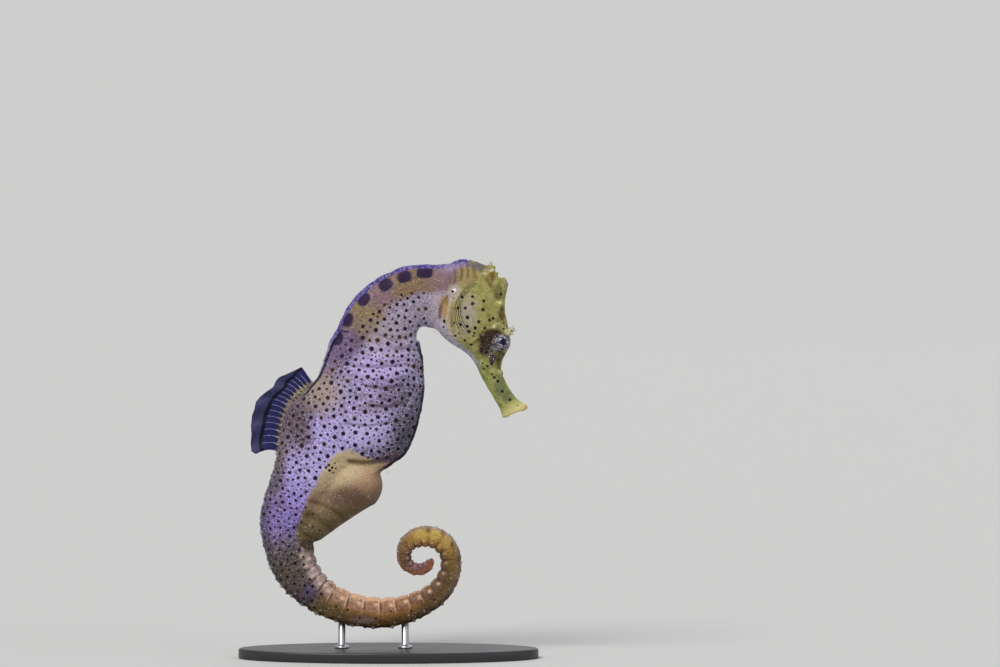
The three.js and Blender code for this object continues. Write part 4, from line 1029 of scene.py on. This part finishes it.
NAPE_ZONES = (
    (23.4, 114.9, 3.2, 2.8, 0.9, (.30, .225, .09)), (19.4, 114.4, 1.6, 2.4, 0.4, (.17, .11, .09)),
    (18.5, 117.2, 1.8, 1.2, 0.75, (.30, .22, .38)), (22.2, 117.8, 2.2, 0.8, 0.6, (.25, .185, .33)),
    (20.0, 109.4, 1.9, 2.6, 0.75, (.44, .37, .31)), (14.4, 105.0, 1.5, 4.4, 0.6, (.42, .34, .40)),
    (16.8, 105.4, 1.3, 3.2, 0.95, (.38, .235, .10)), (15.5, 103.6, 0.5, 2.6, 0.8, (.15, .085, .035)),
    (17.6, 107.2, 0.5, 1.6, 0.6, (.22, .125, .035)), (25.8, 117.9, 2.2, 0.9, 0.8, (.16, .13, .16)),
    (19.8, 110.3, 0.5, 0.45, 1.0, (.84, .82, .93)))

# Single patches as [x, z], [half length, half height].
PEACH_BULGES = (((-4.6, 52.6), (5.5, 4.6)), ((-0.6, 55.4), (4.0, 3.6)))
SNOUT_BANDS = (((33.4, 81.4), (1.6, 2.8)), ((35.4, 78.6), (1.2, 2.2)))
EYE_RING, EYE_CORNER = ((33.9, 94.5), (2.6, 2.6)), ((32.0, 92.9), (1.7, 1.2))
BROW, STREAK, LIP = ((36.7, 98.5), (1.8, 1.4)), ((31.0, 89.9), (1.0, 2.0)), ((41.8, 75.3), (0.7, 0.9))
# Painted shadows on the pouch, along its lower edges and under its rear corner, as patch, softness, share
# and colour.
POUCH_PAINTED_SHADOWS = ((((-3.0, 46.4), (3.6, 4.0)), 0.6, 0.4, (.10, .062, .038)),
                (((-13.0, 48.6), (5.5, 2.6)), 0.6, 0.85, (.105, .060, .040)),
                (((-24.0, 34.2), (3.6, 1.9)), 0.5, 0.95, (.038, .024, .014)))
# The gill folds: the middle and reach of their arcs, where they fan from, and their count.
FOLD_MIDDLE, FOLD_REACH, FOLD_FAN, FOLD_COUNT = (29.4, 103.5), 9.6, (26.4, 112.6), 4.6

skin = Finish("seahorse_hide", {"Coat Roughness": 0.16, "Specular IOR Level": 0.12})
place = skin.place()
px, py, pz = skin.split(place)
mark = {name: skin.node("ShaderNodeAttribute", {"attribute_name": name}, None, "Fac")
        for name in (*HIDE_MARKS, "spot_radius")}


def grown(colours):
    """A colour that changes along the body."""
    length = RING_EDGES[-1] + 0.2
    return skin.node("ShaderNodeValToRGB", {"stops": [(at / length, c) for at, c in colours]},
                     {0: (mark["along"] + (coarse - 0.5) * 5) / length}, "Color")


def dyed(share, under, over):
    """Goes from one colour to another; a word stands for a colour of the table."""
    return skin.mix(share, *[HUES[hue] if isinstance(hue, str) else hue for hue in (under, over)])


def patch(at, radii, soft=0.5):
    """1 in an oval at [x, z] on the flanks, falling to 0 outside it."""
    far = (((px - at[0]) / radii[0]) ** 2 + ((pz - at[1]) / radii[1]) ** 2) ** 0.5
    return (far + (fine - 0.5) * 0.5 + (coarse - 0.5) * 0.6).rise(1 + soft, 1 - soft)


def zoned(under, zones, soft, share):
    """A colour with cloudy zones over it."""
    for at_x, at_z, half_long, half_high, share_of, colour in zones:
        under = dyed(patch((at_x, at_z), (half_long, half_high), soft) * share * share_of, under, colour)
    return under


coarse, fine = skin.cloud(place, 4.5, 3.0), skin.cloud(place, 0.9, 3.0, 0.6)
grain = skin.cells(place, 0.42)
mottle = skin.cloud(place, 0.5, 2.0, 0.6)
curdle = skin.cloud(place, 2.0, 3.0, 0.6)
tail_share = mark["tail"]
along_at = mark["along"]
back_share = (mark["backness"] + (coarse - 0.5) * 1.6 + (fine - 0.5) * 0.8).rise(-1, 1)
under_share = (mark["underness"] + (coarse - 0.5) * 1.2).rise(-1, 1)
body = dyed(under_share, dyed(back_share, grown(FLANK), grown(BACK)), grown(UNDER))

# Pale net between the spots, dark flecks in it, and slow clouding over both.
web_lines = skin.cells(place, 1.25, 1.0, "DISTANCE_TO_EDGE").rise(0.15, 0.02) * (1 - tail_share)
net = (mottle * 0.7 + (1 - grain) * 0.5 + web_lines * 0.22).rise(0.66, 0.9)
quiet = back_share * along_at.rise(36, 30)
body = dyed(net * (0.8 - back_share * 0.55 - quiet * 0.1) * (1 - tail_share * 0.45), body, grown(NET))
body = dyed(mottle.rise(0.47, 0.32) * (0.7 - tail_share * 0.3), body,
            dyed(tail_share, "trunk_shadow", "tail_shadow"))
body = dyed(curdle.rise(0.50, 0.28) * 0.4, body, dyed(tail_share, "trunk_cloud", "tail_cloud"))
body = dyed(curdle.rise(0.55, 0.75) * (1 - back_share) * (1 - tail_share) * 0.3, body, grown(NET))
body = dyed(quiet * mottle.rise(0.52, 0.36) * 0.5, body, "neck_brown")
body = zoned(body, ZONES, 0.6, 0.45 + 0.55 * (1 - net))
flecks = skin.cells(place, 0.95).rise(0.21, 0.12) * fine.rise(0.42, 0.5) * along_at.rise(22, 30)
body = dyed(flecks * along_at.rise(100, 96) * (0.75 - back_share * 0.5), body, "fleck")

# Plates of the tail: painted shade in each crease, a painted highlight along the rim before it, and
# painted highlights on the glossy knuckles.
plate = tail_share * mark["under"]
crease_shade = mark["to_edge"].rise(0.42, 0.12) * (plate * 0.85 + tail_share * 0.15)
crease_shade = crease_shade * along_at.rise(170, 158).most(mark["underness"].rise(0.2, 1.6))
body = dyed(crease_shade * (0.4 + along_at.rise(158, 168) * 0.4), body, "crease_shade")
rim_highlight = abs(mark["before_edge"] - 0.58).rise(0.36, 0.08) * plate * along_at.rise(117, 124)
knuckle_highlight = dyed(along_at.rise(118, 127), "knuckle_highlight_pink", "knuckle_highlight_tan")
body = dyed(rim_highlight * curdle.rise(0.32, 0.50) * along_at.rise(163, 138) * 0.85, body, knuckle_highlight)
# Painted highlights on the glossy knuckles.
body = dyed(mark["gloss"] ** 1.4 * (0.35 + along_at.rise(172, 156) * 0.5), body, knuckle_highlight)
# A painted highlight along the inner edge of the tail, partly the orange of its rim.
inner_rim_highlight = (mark["underness"] + (fine - 0.5) * 0.8).rise(2.6, 3.8) * along_at.rise(116, 124)
body = dyed(inner_rim_highlight * (0.3 + along_at.rise(168, 156) * 0.45), body,
            dyed(along_at.rise(158, 168), "rim_highlight_tan", "rim_highlight_orange"))
body = dyed(plate * fine.rise(0.5, 0.34) * 0.5, body, "plate_shadow")

# The pouch: cream above and peach in front, going darker tan and olive towards the bottom, partly its own
# olive and mostly painted shade, with painted shadows along its lower edges.
peach = patch(*PEACH_BULGES[0], 0.6).most(patch(*PEACH_BULGES[1], 0.6))
pouch = dyed(peach * 0.8, "pouch_cream", "pouch_peach")
pouch_height = pz - 0.12 * px + (coarse - 0.5) * 3
pouch = dyed(pouch_height.rise(56.6, 50.0) * 0.95, pouch, "pouch_tan_and_shade")
pouch = dyed(pouch_height.rise(50.5, 45.0) * 0.9, pouch, "pouch_olive_and_shade")
for shadow_patch, soft, share_of, colour in POUCH_PAINTED_SHADOWS:
    pouch = dyed(patch(*shadow_patch, soft) * share_of, pouch, colour)
pouch = dyed(grain.rise(0.34, 0.12) * (pz.rise(44, 56) * 0.3 + 0.08), pouch, "pouch_grain")
pouch = dyed(fine.rise(0.46, 0.3) * 0.3, pouch, "pouch_shadow")
cream_share = (mark["cream"] + (coarse - 0.5) * 3 + (fine - 0.5) * 2.2).rise(-0.7, 0.9)
body = dyed(cream_share, body, pouch)

# Ridge of the back: a mottled blue strip, a navy line under it, plum blotches, and a navy keel.
blotched = (mark["blotch"] + (fine - 0.5) * 0.7).rise(-0.3, 0.45) * (1 - cream_share)
body = dyed(blotched * 0.97, body, "blotch")
strip = (mark["ridge"] + (fine - 0.5) * 0.5).rise(1.15, 0.85) * along_at.rise(58, 50)
strip_hue = dyed(fine.rise(0.42, 0.60), "strip_blue", "strip_pale")
strip_hue = dyed(along_at.rise(30, 44) * mottle.rise(0.4, 0.6), strip_hue, "strip_grey")
body = dyed(strip, body, strip_hue)
line = abs(mark["beside_strip"] - 0.35 + (coarse - 0.5) * 0.3).rise(0.5, 0.28)
body = dyed(line * along_at.rise(28, 34) * along_at.rise(68, 58) * 0.95, body, "navy")
keel = along_at.rise(29, 33) * along_at.rise(65, 60) * (coarse + fine * 0.5).rise(1.0, 0.75)
keel = keel * (mark["from_keel"] + (coarse - 0.5) * 0.5).rise(0.95, 0.55)
body = dyed(keel, body, "navy")

# The head: yellow, tan on the crown, lilac under the throat, brown round the eye.
head = dyed(curdle.rise(0.40, 0.62) * 0.5, "yellow", "straw")
head = dyed(curdle.rise(0.48, 0.32) * 0.6, head, "olive")
head = dyed(fine.rise(0.46, 0.3) * 0.4, head, "moss")
head = dyed((pz - px * 0.55 + (coarse - 0.5) * 3).rise(98.4, 101.5) * 0.7, head, "tan")
head = dyed(mark["head_along"].rise(25, 29) * 0.75, head,
            dyed(curdle.rise(0.38, 0.62), "snout_green", "snout_lime"))
head = zoned(head, HEAD_ZONES, 0.4, abs(py).rise(0.7, 1.5).most(pz.rise(112, 113)))
throat = (mark["throat"] + (coarse - 0.5) * 0.3).rise(0.62, 0.92) * mark["head_along"].rise(33, 28)
head = dyed(throat, head, dyed(mottle.rise(0.42, 0.62), "throat_lilac", "throat_grey"))
ring_grey = skin.cloud(place, 0.75, 3.0, 0.6, 0.8).rise(0.44, 0.56)
ring_grey = dyed(ring_grey, "ring_dark", "ring_silver")
head = dyed(patch(*EYE_RING, 0.12) * abs(py).rise(3.0, 3.5), head, ring_grey)
head = dyed(patch(*EYE_CORNER, 0.5) * abs(py).rise(1.8, 2.4) * px.rise(34.5, 33.5) * 0.75, head, ring_grey)
head = dyed(patch(*BROW, 0.4) * abs(py).rise(1.6, 2.2) * 0.9, head,
            dyed(mottle.rise(0.45, 0.6), "brow_tan", "brow_pink"))
# Painted glints: fine pale grains over the head.
granule_glints = skin.cells(place, 0.62).rise(0.24, 0.10) * coarse.rise(0.38, 0.50)
head = dyed(granule_glints * 0.5, head, "granule_glint")
head = dyed(mottle.rise(0.44, 0.30) * 0.4, head, "head_shadow")
speckle = skin.cells(place, 0.75).rise(0.36, 0.22)
head = dyed(patch(*STREAK, 0.3) * abs(py).rise(1.2, 1.8), head,
            dyed(speckle, "streak_dark", "streak_white"))
head = dyed(patch(*SNOUT_BANDS[0], 0.6).most(patch(*SNOUT_BANDS[1], 0.6)) * 0.75, head, "snout_band")
head = dyed(mark["head_along"].rise(43.5, 48.0) * 0.9, head, "mouth_cream")
head = dyed(patch(*LIP, 0.5) * 0.8, head, "lip")
hue = zoned(dyed(mark["head"], body, head), NAPE_ZONES, 0.4, 1.0)
crown_strip = (pz - px * 0.09 + (fine - 0.5) * 0.5).rise(116.6, 116.95)
crown_strip = crown_strip * px.rise(25.2, 24.2) * px.rise(15, 17)
hue = dyed(crown_strip, hue, dyed(fine.rise(0.45, 0.62), "strip_blue", "crown_violet"))
warm = (mark["head"] * 3 + cream_share + px.rise(14, 16)).least(1.0)
# The drawn grooves and ridges: brown is painted shade in the grooves and pale is painted light on the
# ridges, partly the hide's own colour.
hue = dyed(mark["tint"].rise(-0.05, -0.85) * 0.9, hue, dyed(warm, "dusk_and_shade", "ochre_and_shade"))
hue = dyed(mark["tint"].rise(0.1, 0.9) * 0.6, hue, dyed(warm, "pale_lilac_and_light", "pale_straw_and_light"))

# Gill folds: fine dark lines between pale bands, which fan out from the top of the gill cover.
from_fan, from_middle = [((px - at_x) ** 2 + (pz - at_z) ** 2) ** 0.5
                         for at_x, at_z in (FOLD_FAN, FOLD_MIDDLE)]
count = (FOLD_REACH - from_middle) / (from_fan * 0.040 + 0.16)
folds = skin.node("ShaderNodeMath", {"operation": "SINE"}, {0: count * (2 * pi)})
folds = folds * count.rise(-0.5, 0.0) * count.rise(FOLD_COUNT, 3.8)
folds = folds * pz.rise(96.5, 99.5) * mark["head"] * px.rise(27.0, 25.8)
hue = dyed(folds.rise(0.25, 0.95) * 0.75, hue, "fold_dark")
hue = dyed(folds.rise(0.0, -0.8) * 0.75, hue, "fold_pale")

# Spots, then pale grains, partly white and blue specks of the hide and partly painted glints, and the
# white tips over all.
centre = skin.node("ShaderNodeAttribute", {"attribute_name": "spot"}, None, "Vector")
away = skin.node("ShaderNodeVectorMath", {"operation": "DISTANCE"}, {0: place, 1: centre}, "Value")
inked = (mark["spot_radius"] - away + (fine - 0.5) * 0.5 + (mottle - 0.5) * 0.24).rise(-0.17, 0.13)
dice = skin.node("ShaderNodeTexWhiteNoise", {"noise_dimensions": "3D"}, {"Vector": centre}, "Value")
halo = (mark["spot_radius"] - away + 0.3).rise(-0.1, 0.2) * dice.rise(0.62, 0.8) * along_at.rise(52, 36)
hue = dyed(halo * (1 - mark["head"]) * 0.6, hue, "halo")
hue = dyed(inked, hue, dyed(dice.rise(0.7, 0.95) * 0.75, "ink", "rust"))
grit_and_glints = skin.cells(place, 0.66).rise(0.20, 0.10) * (1 - inked) * curdle.rise(0.40, 0.52)
grit_and_glints = grit_and_glints * (1 - mark["head"].most(blotched).most(keel))
hue = dyed(grit_and_glints * (0.75 - tail_share * 0.45), hue,
           dyed(coarse.rise(0.57, 0.63), "white_grit_and_glint", "blue_grit_and_glint"))
hue = dyed(mark["white"] * 0.85, hue, "white_tip")
relief = skin.bump(grain, 0.10, skin.bump(fine, 0.32, skin.bump(folds, 0.28)))
skin.feed({"Base Color": hue, "Normal": relief,
           "Roughness": 0.42 + fine * 0.24 - mark["gloss"] * 0.12,
           "Coat Weight": mottle.rise(0.52, 0.75) * 0.18 + mark["gloss"] * 0.2})
mesh.materials.append(skin.material)
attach(hide_piece, "root")
HIDE_NODES = ("head", "snout", "coronet", "gill_cover_right", "gill_cover_left", "neck", "trunk_upper",
              "trunk_lower", "pouch", "tail_base", "tail_upper", "tail_bend", "tail_middle",
              "tail_lower", "tail_coil_outer", "tail_coil_top", "tail_coil_inner", "tail_tip")
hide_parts(*HIDE_NODES)

# The eyes: clear domed globes, silver white inside with a small blue black pupil, each sitting loose in
# the ring of its lid.

PUPIL, PUPIL_RIM = 0.35, 0.41
EYE_STEPS, EYE_SIDES, EYE_DOME = 40, 72, 0.05
VEIN_DARK, VEIN_SILVER, FLECK_WHITE = (.035, .028, .045), (.27, .25, .30), (.70, .67, .74)
PIT_BLACK, OUTER_GREY, PUPIL_BLUE = (.012, .010, .016), (.12, .10, .10), (.002, .003, .022)
for flank, side in ((-1, "right"), (1, "left")):
    axis = Vector((EYE["axis"][0], EYE["axis"][1] * flank, EYE["axis"][2])).normalized()
    middle = Vector((EYE["centre"][0], EYE["centre"][1] * flank, EYE["centre"][2]))
    turn = axis.to_track_quat("Z", "X")
    points = [middle + turn @ Vector((sin(a) * cos(b), sin(a) * sin(b), cos(a) * (
        1 + EYE_DOME * max(0, cos(a)) ** 8))) * EYE["radius"]
              for a in (pi * i / EYE_STEPS for i in range(1, EYE_STEPS))
              for b in (2 * pi * j / EYE_SIDES for j in range(EYE_SIDES))]
    faces_of = [[i * EYE_SIDES + j, (i + 1) * EYE_SIDES + j,
                 (i + 1) * EYE_SIDES + (j + 1) % EYE_SIDES, i * EYE_SIDES + (j + 1) % EYE_SIDES]
                for i in range(EYE_STEPS - 2) for j in range(EYE_SIDES)]
    last = (EYE_STEPS - 2) * EYE_SIDES
    faces_of += [list(range(EYE_SIDES)), list(range(last, last + EYE_SIDES))[::-1]]
    globe = add_mesh("eye_globe_" + side, points, faces_of)
    iris = Finish("eye_" + side, {"Roughness": 0.4, "Coat Roughness": 0.03, "Coat Weight": 0.3,
                                  "Specular IOR Level": 0.1})
    place = iris.place()
    outward = iris.node("ShaderNodeVectorMath", {"operation": "SUBTRACT"}, {0: place, 1: tuple(middle)})
    outward = iris.node("ShaderNodeVectorMath", {"operation": "NORMALIZE"}, {0: outward})
    facing = iris.node("ShaderNodeVectorMath", {"operation": "DOT_PRODUCT"},
                       {0: outward, 1: tuple(axis)}, "Value")
    tilt = iris.node("ShaderNodeMath", {"operation": "ARCCOSINE"}, {0: facing.least(1.0)})
    flecks = iris.cells(place, 0.75).rise(0.36, 0.2)
    veins = iris.cloud(place, 0.75, 3.0, 0.6, 0.8)
    silver = iris.mix(veins.rise(0.44, 0.56), VEIN_DARK, VEIN_SILVER)
    silver = iris.mix(flecks * veins.rise(0.36, 0.5) * 0.85, silver, FLECK_WHITE)
    silver = iris.mix(iris.cells(place, 0.9).rise(0.24, 0.12) * tilt.rise(0.65, 0.8) * 0.9, silver,
                      PIT_BLACK)
    silver = iris.mix((tilt + (veins - 0.5) * 0.4).rise(1.15, 1.4) * 0.6, silver, OUTER_GREY)
    pupil = (tilt + (veins - 0.5) * 0.05).rise(PUPIL_RIM, PUPIL)
    iris.feed({"Base Color": iris.mix(pupil, silver, PUPIL_BLUE)})
    globe.data.materials.append(iris.material)
    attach(globe, "root")
    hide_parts("eye_" + side)

# The dorsal fin: 17 thin rays in a thin web of skin, dark blue on both sides of a black band and
# a little clearer outside it, rooted along the ridge of the back on a raised cream foot.

FIN_FOOT = ((-22.6, 82.0), (-32.0, 78.7), (-32.8, 61.8))
FIN_RIM = ((-26.1, 87.3), (-29.6, 85.6), (-32.7, 84.3), (-33.8, 83.2), (-34.6, 81.3), (-36.6, 79.9),
           (-38.5, 78.4), (-39.8, 76.8), (-40.2, 74.6), (-41.0, 72.6), (-41.3, 69.8), (-41.1, 67.2),
           (-41.4, 64.4), (-41.1, 62.0), (-39.8, 61.2))
FIN_BAND = ((0, 0.99), (0.06, 0.9), (0.14, 0.72), (0.3, 0.6), (0.5, 0.58), (0.75, 0.63), (1, 0.72))
# Bays between the rays, steps across the web and from ray to ray, and how deep its root is sunk.
FIN_BAYS, FIN_ACROSS, FIN_BETWEEN, FIN_ROOT = 16, 26, 7, 1.6
# How its rays lean, in degrees at the first and how much more at the last.
RAY_LEAN, RAY_TURN = 118, 34
# Waves of the web as height, growth towards the rim, half waves and start.
FIN_WAVES = ((0.55, 1.5, 9.5, 0.0), (0.22, 1.0, 3.1, 0.6))
WEB_THICK, SWELLING, FIN_SUNK = 0.13, 0.06, -0.2
RAY_THICK = ((0.0, 0.10, 0.26, 0.6, 1.0), (0.46, 0.38, 0.11, 0.08, 0.04))


def along_line(line, share):
    """The point at a share of the way along a line of points."""
    line = np.array(line)
    gone = np.concatenate(([0], np.cumsum(np.hypot(*np.diff(line, axis=0).T))))
    return np.array([np.interp(share * gone[-1], gone, column) for column in line.T])


def fin_point(u, w):
    """The place on the web, from its front ray 0 to its last 1 and from its foot 0 to its rim 1."""
    foot = sum(weight * np.array(point) for weight, point in
               zip(((1 - u) ** 2, 2 * u * (1 - u), u * u), FIN_FOOT))
    rim_at = along_line(FIN_RIM, u)
    start = radians(RAY_LEAN + RAY_TURN * u)
    reach = hypot(*(rim_at - foot))
    knee = foot + 0.5 * reach * np.array((cos(start), sin(start)))
    if w < 0:
        return foot + w * FIN_ROOT / -FIN_SUNK * (rim_at - foot) / reach
    return (1 - w) ** 2 * foot + 2 * w * (1 - w) * knee + w * w * rim_at


def fin_wave(u, w):
    """How far the web waves out of its plane."""
    return sum(high * max(w, 0) ** growth * sin(u * halves * pi + start)
               for high, growth, halves, start in FIN_WAVES)


def add_fin(name, point, wave, bays, between, across, node, web_finish, ray_finish=None):
    """A web of thin skin, closed all round, with tapering rays on it or as swellings of it."""
    count, low_w = bays * between, FIN_SUNK
    points, faces_of, ray_faces, share_u, share_w, on_ray = [], [], [], [], [], []
    for flank in (-1, 1):
        for i in range(count + 1):
            for j in range(across + 1):
                u, w = i / count, low_w + (1 - low_w) * j / across
                at = point(u, w)
                ripple = WEB_THICK / 2 * (1 - 0.55 * max(w, 0)) + 0.02
                on_ray.append(float(i % between == 0))
                if ray_finish is None:
                    ripple += SWELLING * on_ray[-1] * (1 - 0.8 * max(w, 0))
                points.append((at[0], wave(u, w) + flank * ripple, at[1]))
                share_u.append(u)
                share_w.append(w)
    row, sheet = across + 1, (count + 1) * (across + 1)
    for i in range(count):
        for j in range(across):
            a = i * row + j
            quad = [a, a + row, a + row + 1, a + 1]
            faces_of += [quad, [sheet + k for k in quad[::-1]]]
    rim_of = ([j for j in range(row)] + [i * row + across for i in range(1, count + 1)]
              + [count * row + j for j in range(across - 1, -1, -1)]
              + [i * row for i in range(count - 1, 0, -1)])
    for a, b in zip(rim_of, rim_of[1:] + rim_of[:1]):
        faces_of.append([a, b, b + sheet, a + sheet])
    web_count = len(faces_of)
    for k in range(bays + 1 if ray_finish else 0):
        u = k / bays
        base_at = len(points)
        for j in range(across + 1):
            w = low_w + (0.97 - low_w) * j / across
            at, ahead = point(u, w), point(u, w + 0.01)
            run = (ahead - at) / max(hypot(*(ahead - at)), 1e-9)
            thick = np.interp(w, RAY_THICK[0], RAY_THICK[1])
            for corner in range(6):
                angle = corner * pi / 3
                points.append((at[0] - run[1] * cos(angle) * thick, wave(u, w) + sin(angle) * thick,
                               at[1] + run[0] * cos(angle) * thick))
                share_u.append(u)
                share_w.append(w)
                on_ray.append(1.0)
        for j in range(across):
            for corner in range(6):
                a, b = base_at + j * 6 + corner, base_at + j * 6 + (corner + 1) % 6
                ray_faces.append([a, b, b + 6, a + 6])
        ray_faces.append([base_at + across * 6 + corner for corner in range(6)])
        ray_faces.append([base_at + 5 - corner for corner in range(6)])
    fin = add_mesh(name, points, faces_of + ray_faces)
    for attribute, values in (("u", share_u), ("w", share_w), ("on_ray", on_ray)):
        fin.data.attributes.new(attribute, "FLOAT", "POINT").data.foreach_set("value", values)
    for finish in filter(None, (web_finish, ray_finish)):
        fin.data.materials.append(finish.material)
    fin.data.polygons.foreach_set("material_index", [0] * web_count + [1] * len(ray_faces))
    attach(fin, "root")
    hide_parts(node)


# The web's colours inside and outside the black band and at the foot, and the colour of the rays, a pale
# lilac that is partly their own and partly painted highlight.
FIN_INNER, FIN_OUTER, FIN_CREAM, RAY_PALE_AND_HIGHLIGHT = (
    (.014, .015, .068), (.021, .021, .078), (.36, .31, .17), (.34, .31, .62))
FOOT_BROWN, FLECK_BLUE, BAND_BLACK = (.36, .28, .24), (.40, .74, .92), (.004, .004, .014)
# How much of the light the web stops inside and outside the band and at the foot.
FILLED_IN, FILLED_OUT, FILLED_FOOT = 0.95, 0.86, 0.9
PLEATS = 33


def toned(colour, scale):
    """A colour made lighter or darker."""
    return tuple(part * scale for part in colour)


def dorsal_finish(part):
    """The web's or the rays' material. The black band's place changes from ray to ray."""
    film = Finish(f"dorsal_fin_{part}", {"Roughness": 0.45, "Specular IOR Level": 0.12})
    u = film.node("ShaderNodeAttribute", {"attribute_name": "u"}, None, "Fac")
    w = film.node("ShaderNodeAttribute", {"attribute_name": "w"}, None, "Fac")
    place = film.place()
    thin, fleck = film.cloud(place, 0.7, 3.0, 0.6), film.cells(place, 0.9)
    band_at = film.node("ShaderNodeValToRGB", {"stops": [(at, (c, c, c)) for at, c in FIN_BAND]},
                        {0: u}, "Color")
    past_band = w - band_at + (thin - 0.5) * 0.05
    outside = past_band.rise(-0.01, 0.04)
    on_band = abs(past_band).rise(0.08, 0.045)
    foot_hue = film.mix(u.rise(0.25, 0.4), FIN_CREAM, FOOT_BROWN)
    if part == "web":
        foot_share = (w + u * 0.05 + (thin - 0.5) * 0.2).rise(0.17, 0.07)
        pleat = film.node("ShaderNodeMath", {"operation": "SINE"},
                          {0: u * (2 * pi * PLEATS) + film.cloud(place, 3.0, 2.0) * 9})
        colour = film.mix(outside, film.mix(thin, FIN_INNER, toned(FIN_INNER, 1.6)),
                          film.mix(thin, FIN_OUTER, toned(FIN_OUTER, 1.7)))
        colour = film.mix(pleat.rise(-0.2, 1.0) * outside * 0.4, colour, toned(FIN_OUTER, 0.45))
        colour = film.mix(foot_share * 0.9, colour, film.mix(
            thin.rise(0.45, 0.6), toned(FIN_CREAM, 0.25), foot_hue))
        colour = film.mix(foot_share * fleck.rise(0.3, 0.15), colour, toned(FIN_CREAM, 2))
    else:
        foot_share = (w + u * 0.1 + (thin - 0.5) * 0.15).rise(0.36, 0.24)
        # Painted highlight: the rays go from a darker to a pale lilac towards the rim.
        colour = film.mix((w + thin * 0.2).rise(0.30, 0.62), toned(RAY_PALE_AND_HIGHLIGHT, 0.6), RAY_PALE_AND_HIGHLIGHT)
        colour = film.mix(foot_share * 0.9, colour, film.mix(
            thin.rise(0.4, 0.62), toned(FIN_CREAM, 0.45), foot_hue))
        colour = film.mix(fleck.rise(0.24, 0.14) * 0.9, colour, FLECK_BLUE)
        colour = film.mix(outside * 0.85, colour, toned(FIN_OUTER, 1.5))
    colour = film.mix(on_band * (1 - thin.rise(0.62, 0.72)), colour, BAND_BLACK)
    filled = FILLED_IN + outside * (FILLED_OUT - FILLED_IN) + on_band * 0.35 + foot_share * FILLED_FOOT
    film.feed({"Base Color": colour, "Alpha": filled.least(1.0), "Normal": film.bump(thin, 0.05)})
    return film


add_fin("dorsal_fin_web", fin_point, fin_wave, FIN_BAYS, FIN_BETWEEN, FIN_ACROSS, "dorsal_fin",
        dorsal_finish("web"), dorsal_finish("rays"))

# The small fins: a clear fan behind each gill cover that steers, and a tiny one in front of the
# pouch. Each is one thin web of skin that swells at its rays.

PECTORAL = {"root": (16.6, 103.9), "line": 2.6, "span": (112, 244), "length": 4.8, "y": 4.3, "tilt": 24}
ANAL = {"root": (-2.0, 57.6), "line": 0.5, "span": (-62, -18), "length": 3.5}
PECTORAL_BAYS, ANAL_BAYS = 15, 4
# How far and how often each web waves from its first ray to its last.
PECTORAL_WAVE, ANAL_WAVE = (0.12, 12), (0.08, 6)
CLEAR_WEB, CLEAR_RAY, WEB_FILLED, RAY_FILLED = (.48, .40, .40), (.56, .42, .28), 0.025, 0.09
small_web = Finish("small_fins_web", {"Roughness": 0.45, "Specular IOR Level": 0.12})
on_ray = small_web.node("ShaderNodeAttribute", {"attribute_name": "on_ray"}, None, "Fac")
small_web.feed({"Base Color": small_web.mix(on_ray, CLEAR_WEB, CLEAR_RAY),
                "Alpha": WEB_FILLED + on_ray * RAY_FILLED})


def fan_point(root, line, span, length):
    """A surface of rays that fan out from a short line."""
    def point(u, w):
        angle = radians(span[0] + (span[1] - span[0]) * u)
        return np.array((root[0] + cos(angle) * length * w,
                         root[1] + line * (1 - 2 * u) + sin(angle) * length * w))
    return point


for flank, side in ((-1, "right"), (1, "left")):
    fan = fan_point(PECTORAL["root"], PECTORAL["line"], PECTORAL["span"], PECTORAL["length"])

    def fan_wave(u, w, flank=flank):
        return flank * (PECTORAL["y"] + max(w, 0) * PECTORAL["length"] * sin(radians(PECTORAL["tilt"]))
                        + PECTORAL_WAVE[0] * max(w, 0) * sin(u * PECTORAL_WAVE[1] * pi))
    add_fin("pectoral_fin_web_" + side, fan, fan_wave, PECTORAL_BAYS, 4, 12,
            "pectoral_fin_" + side, small_web)
add_fin("anal_fin_web", fan_point(ANAL["root"], ANAL["line"], ANAL["span"], ANAL["length"]),
        lambda u, w: ANAL_WAVE[0] * max(w, 0) * sin(u * ANAL_WAVE[1] * pi),
        ANAL_BAYS, 4, 10, "anal_fin", small_web)
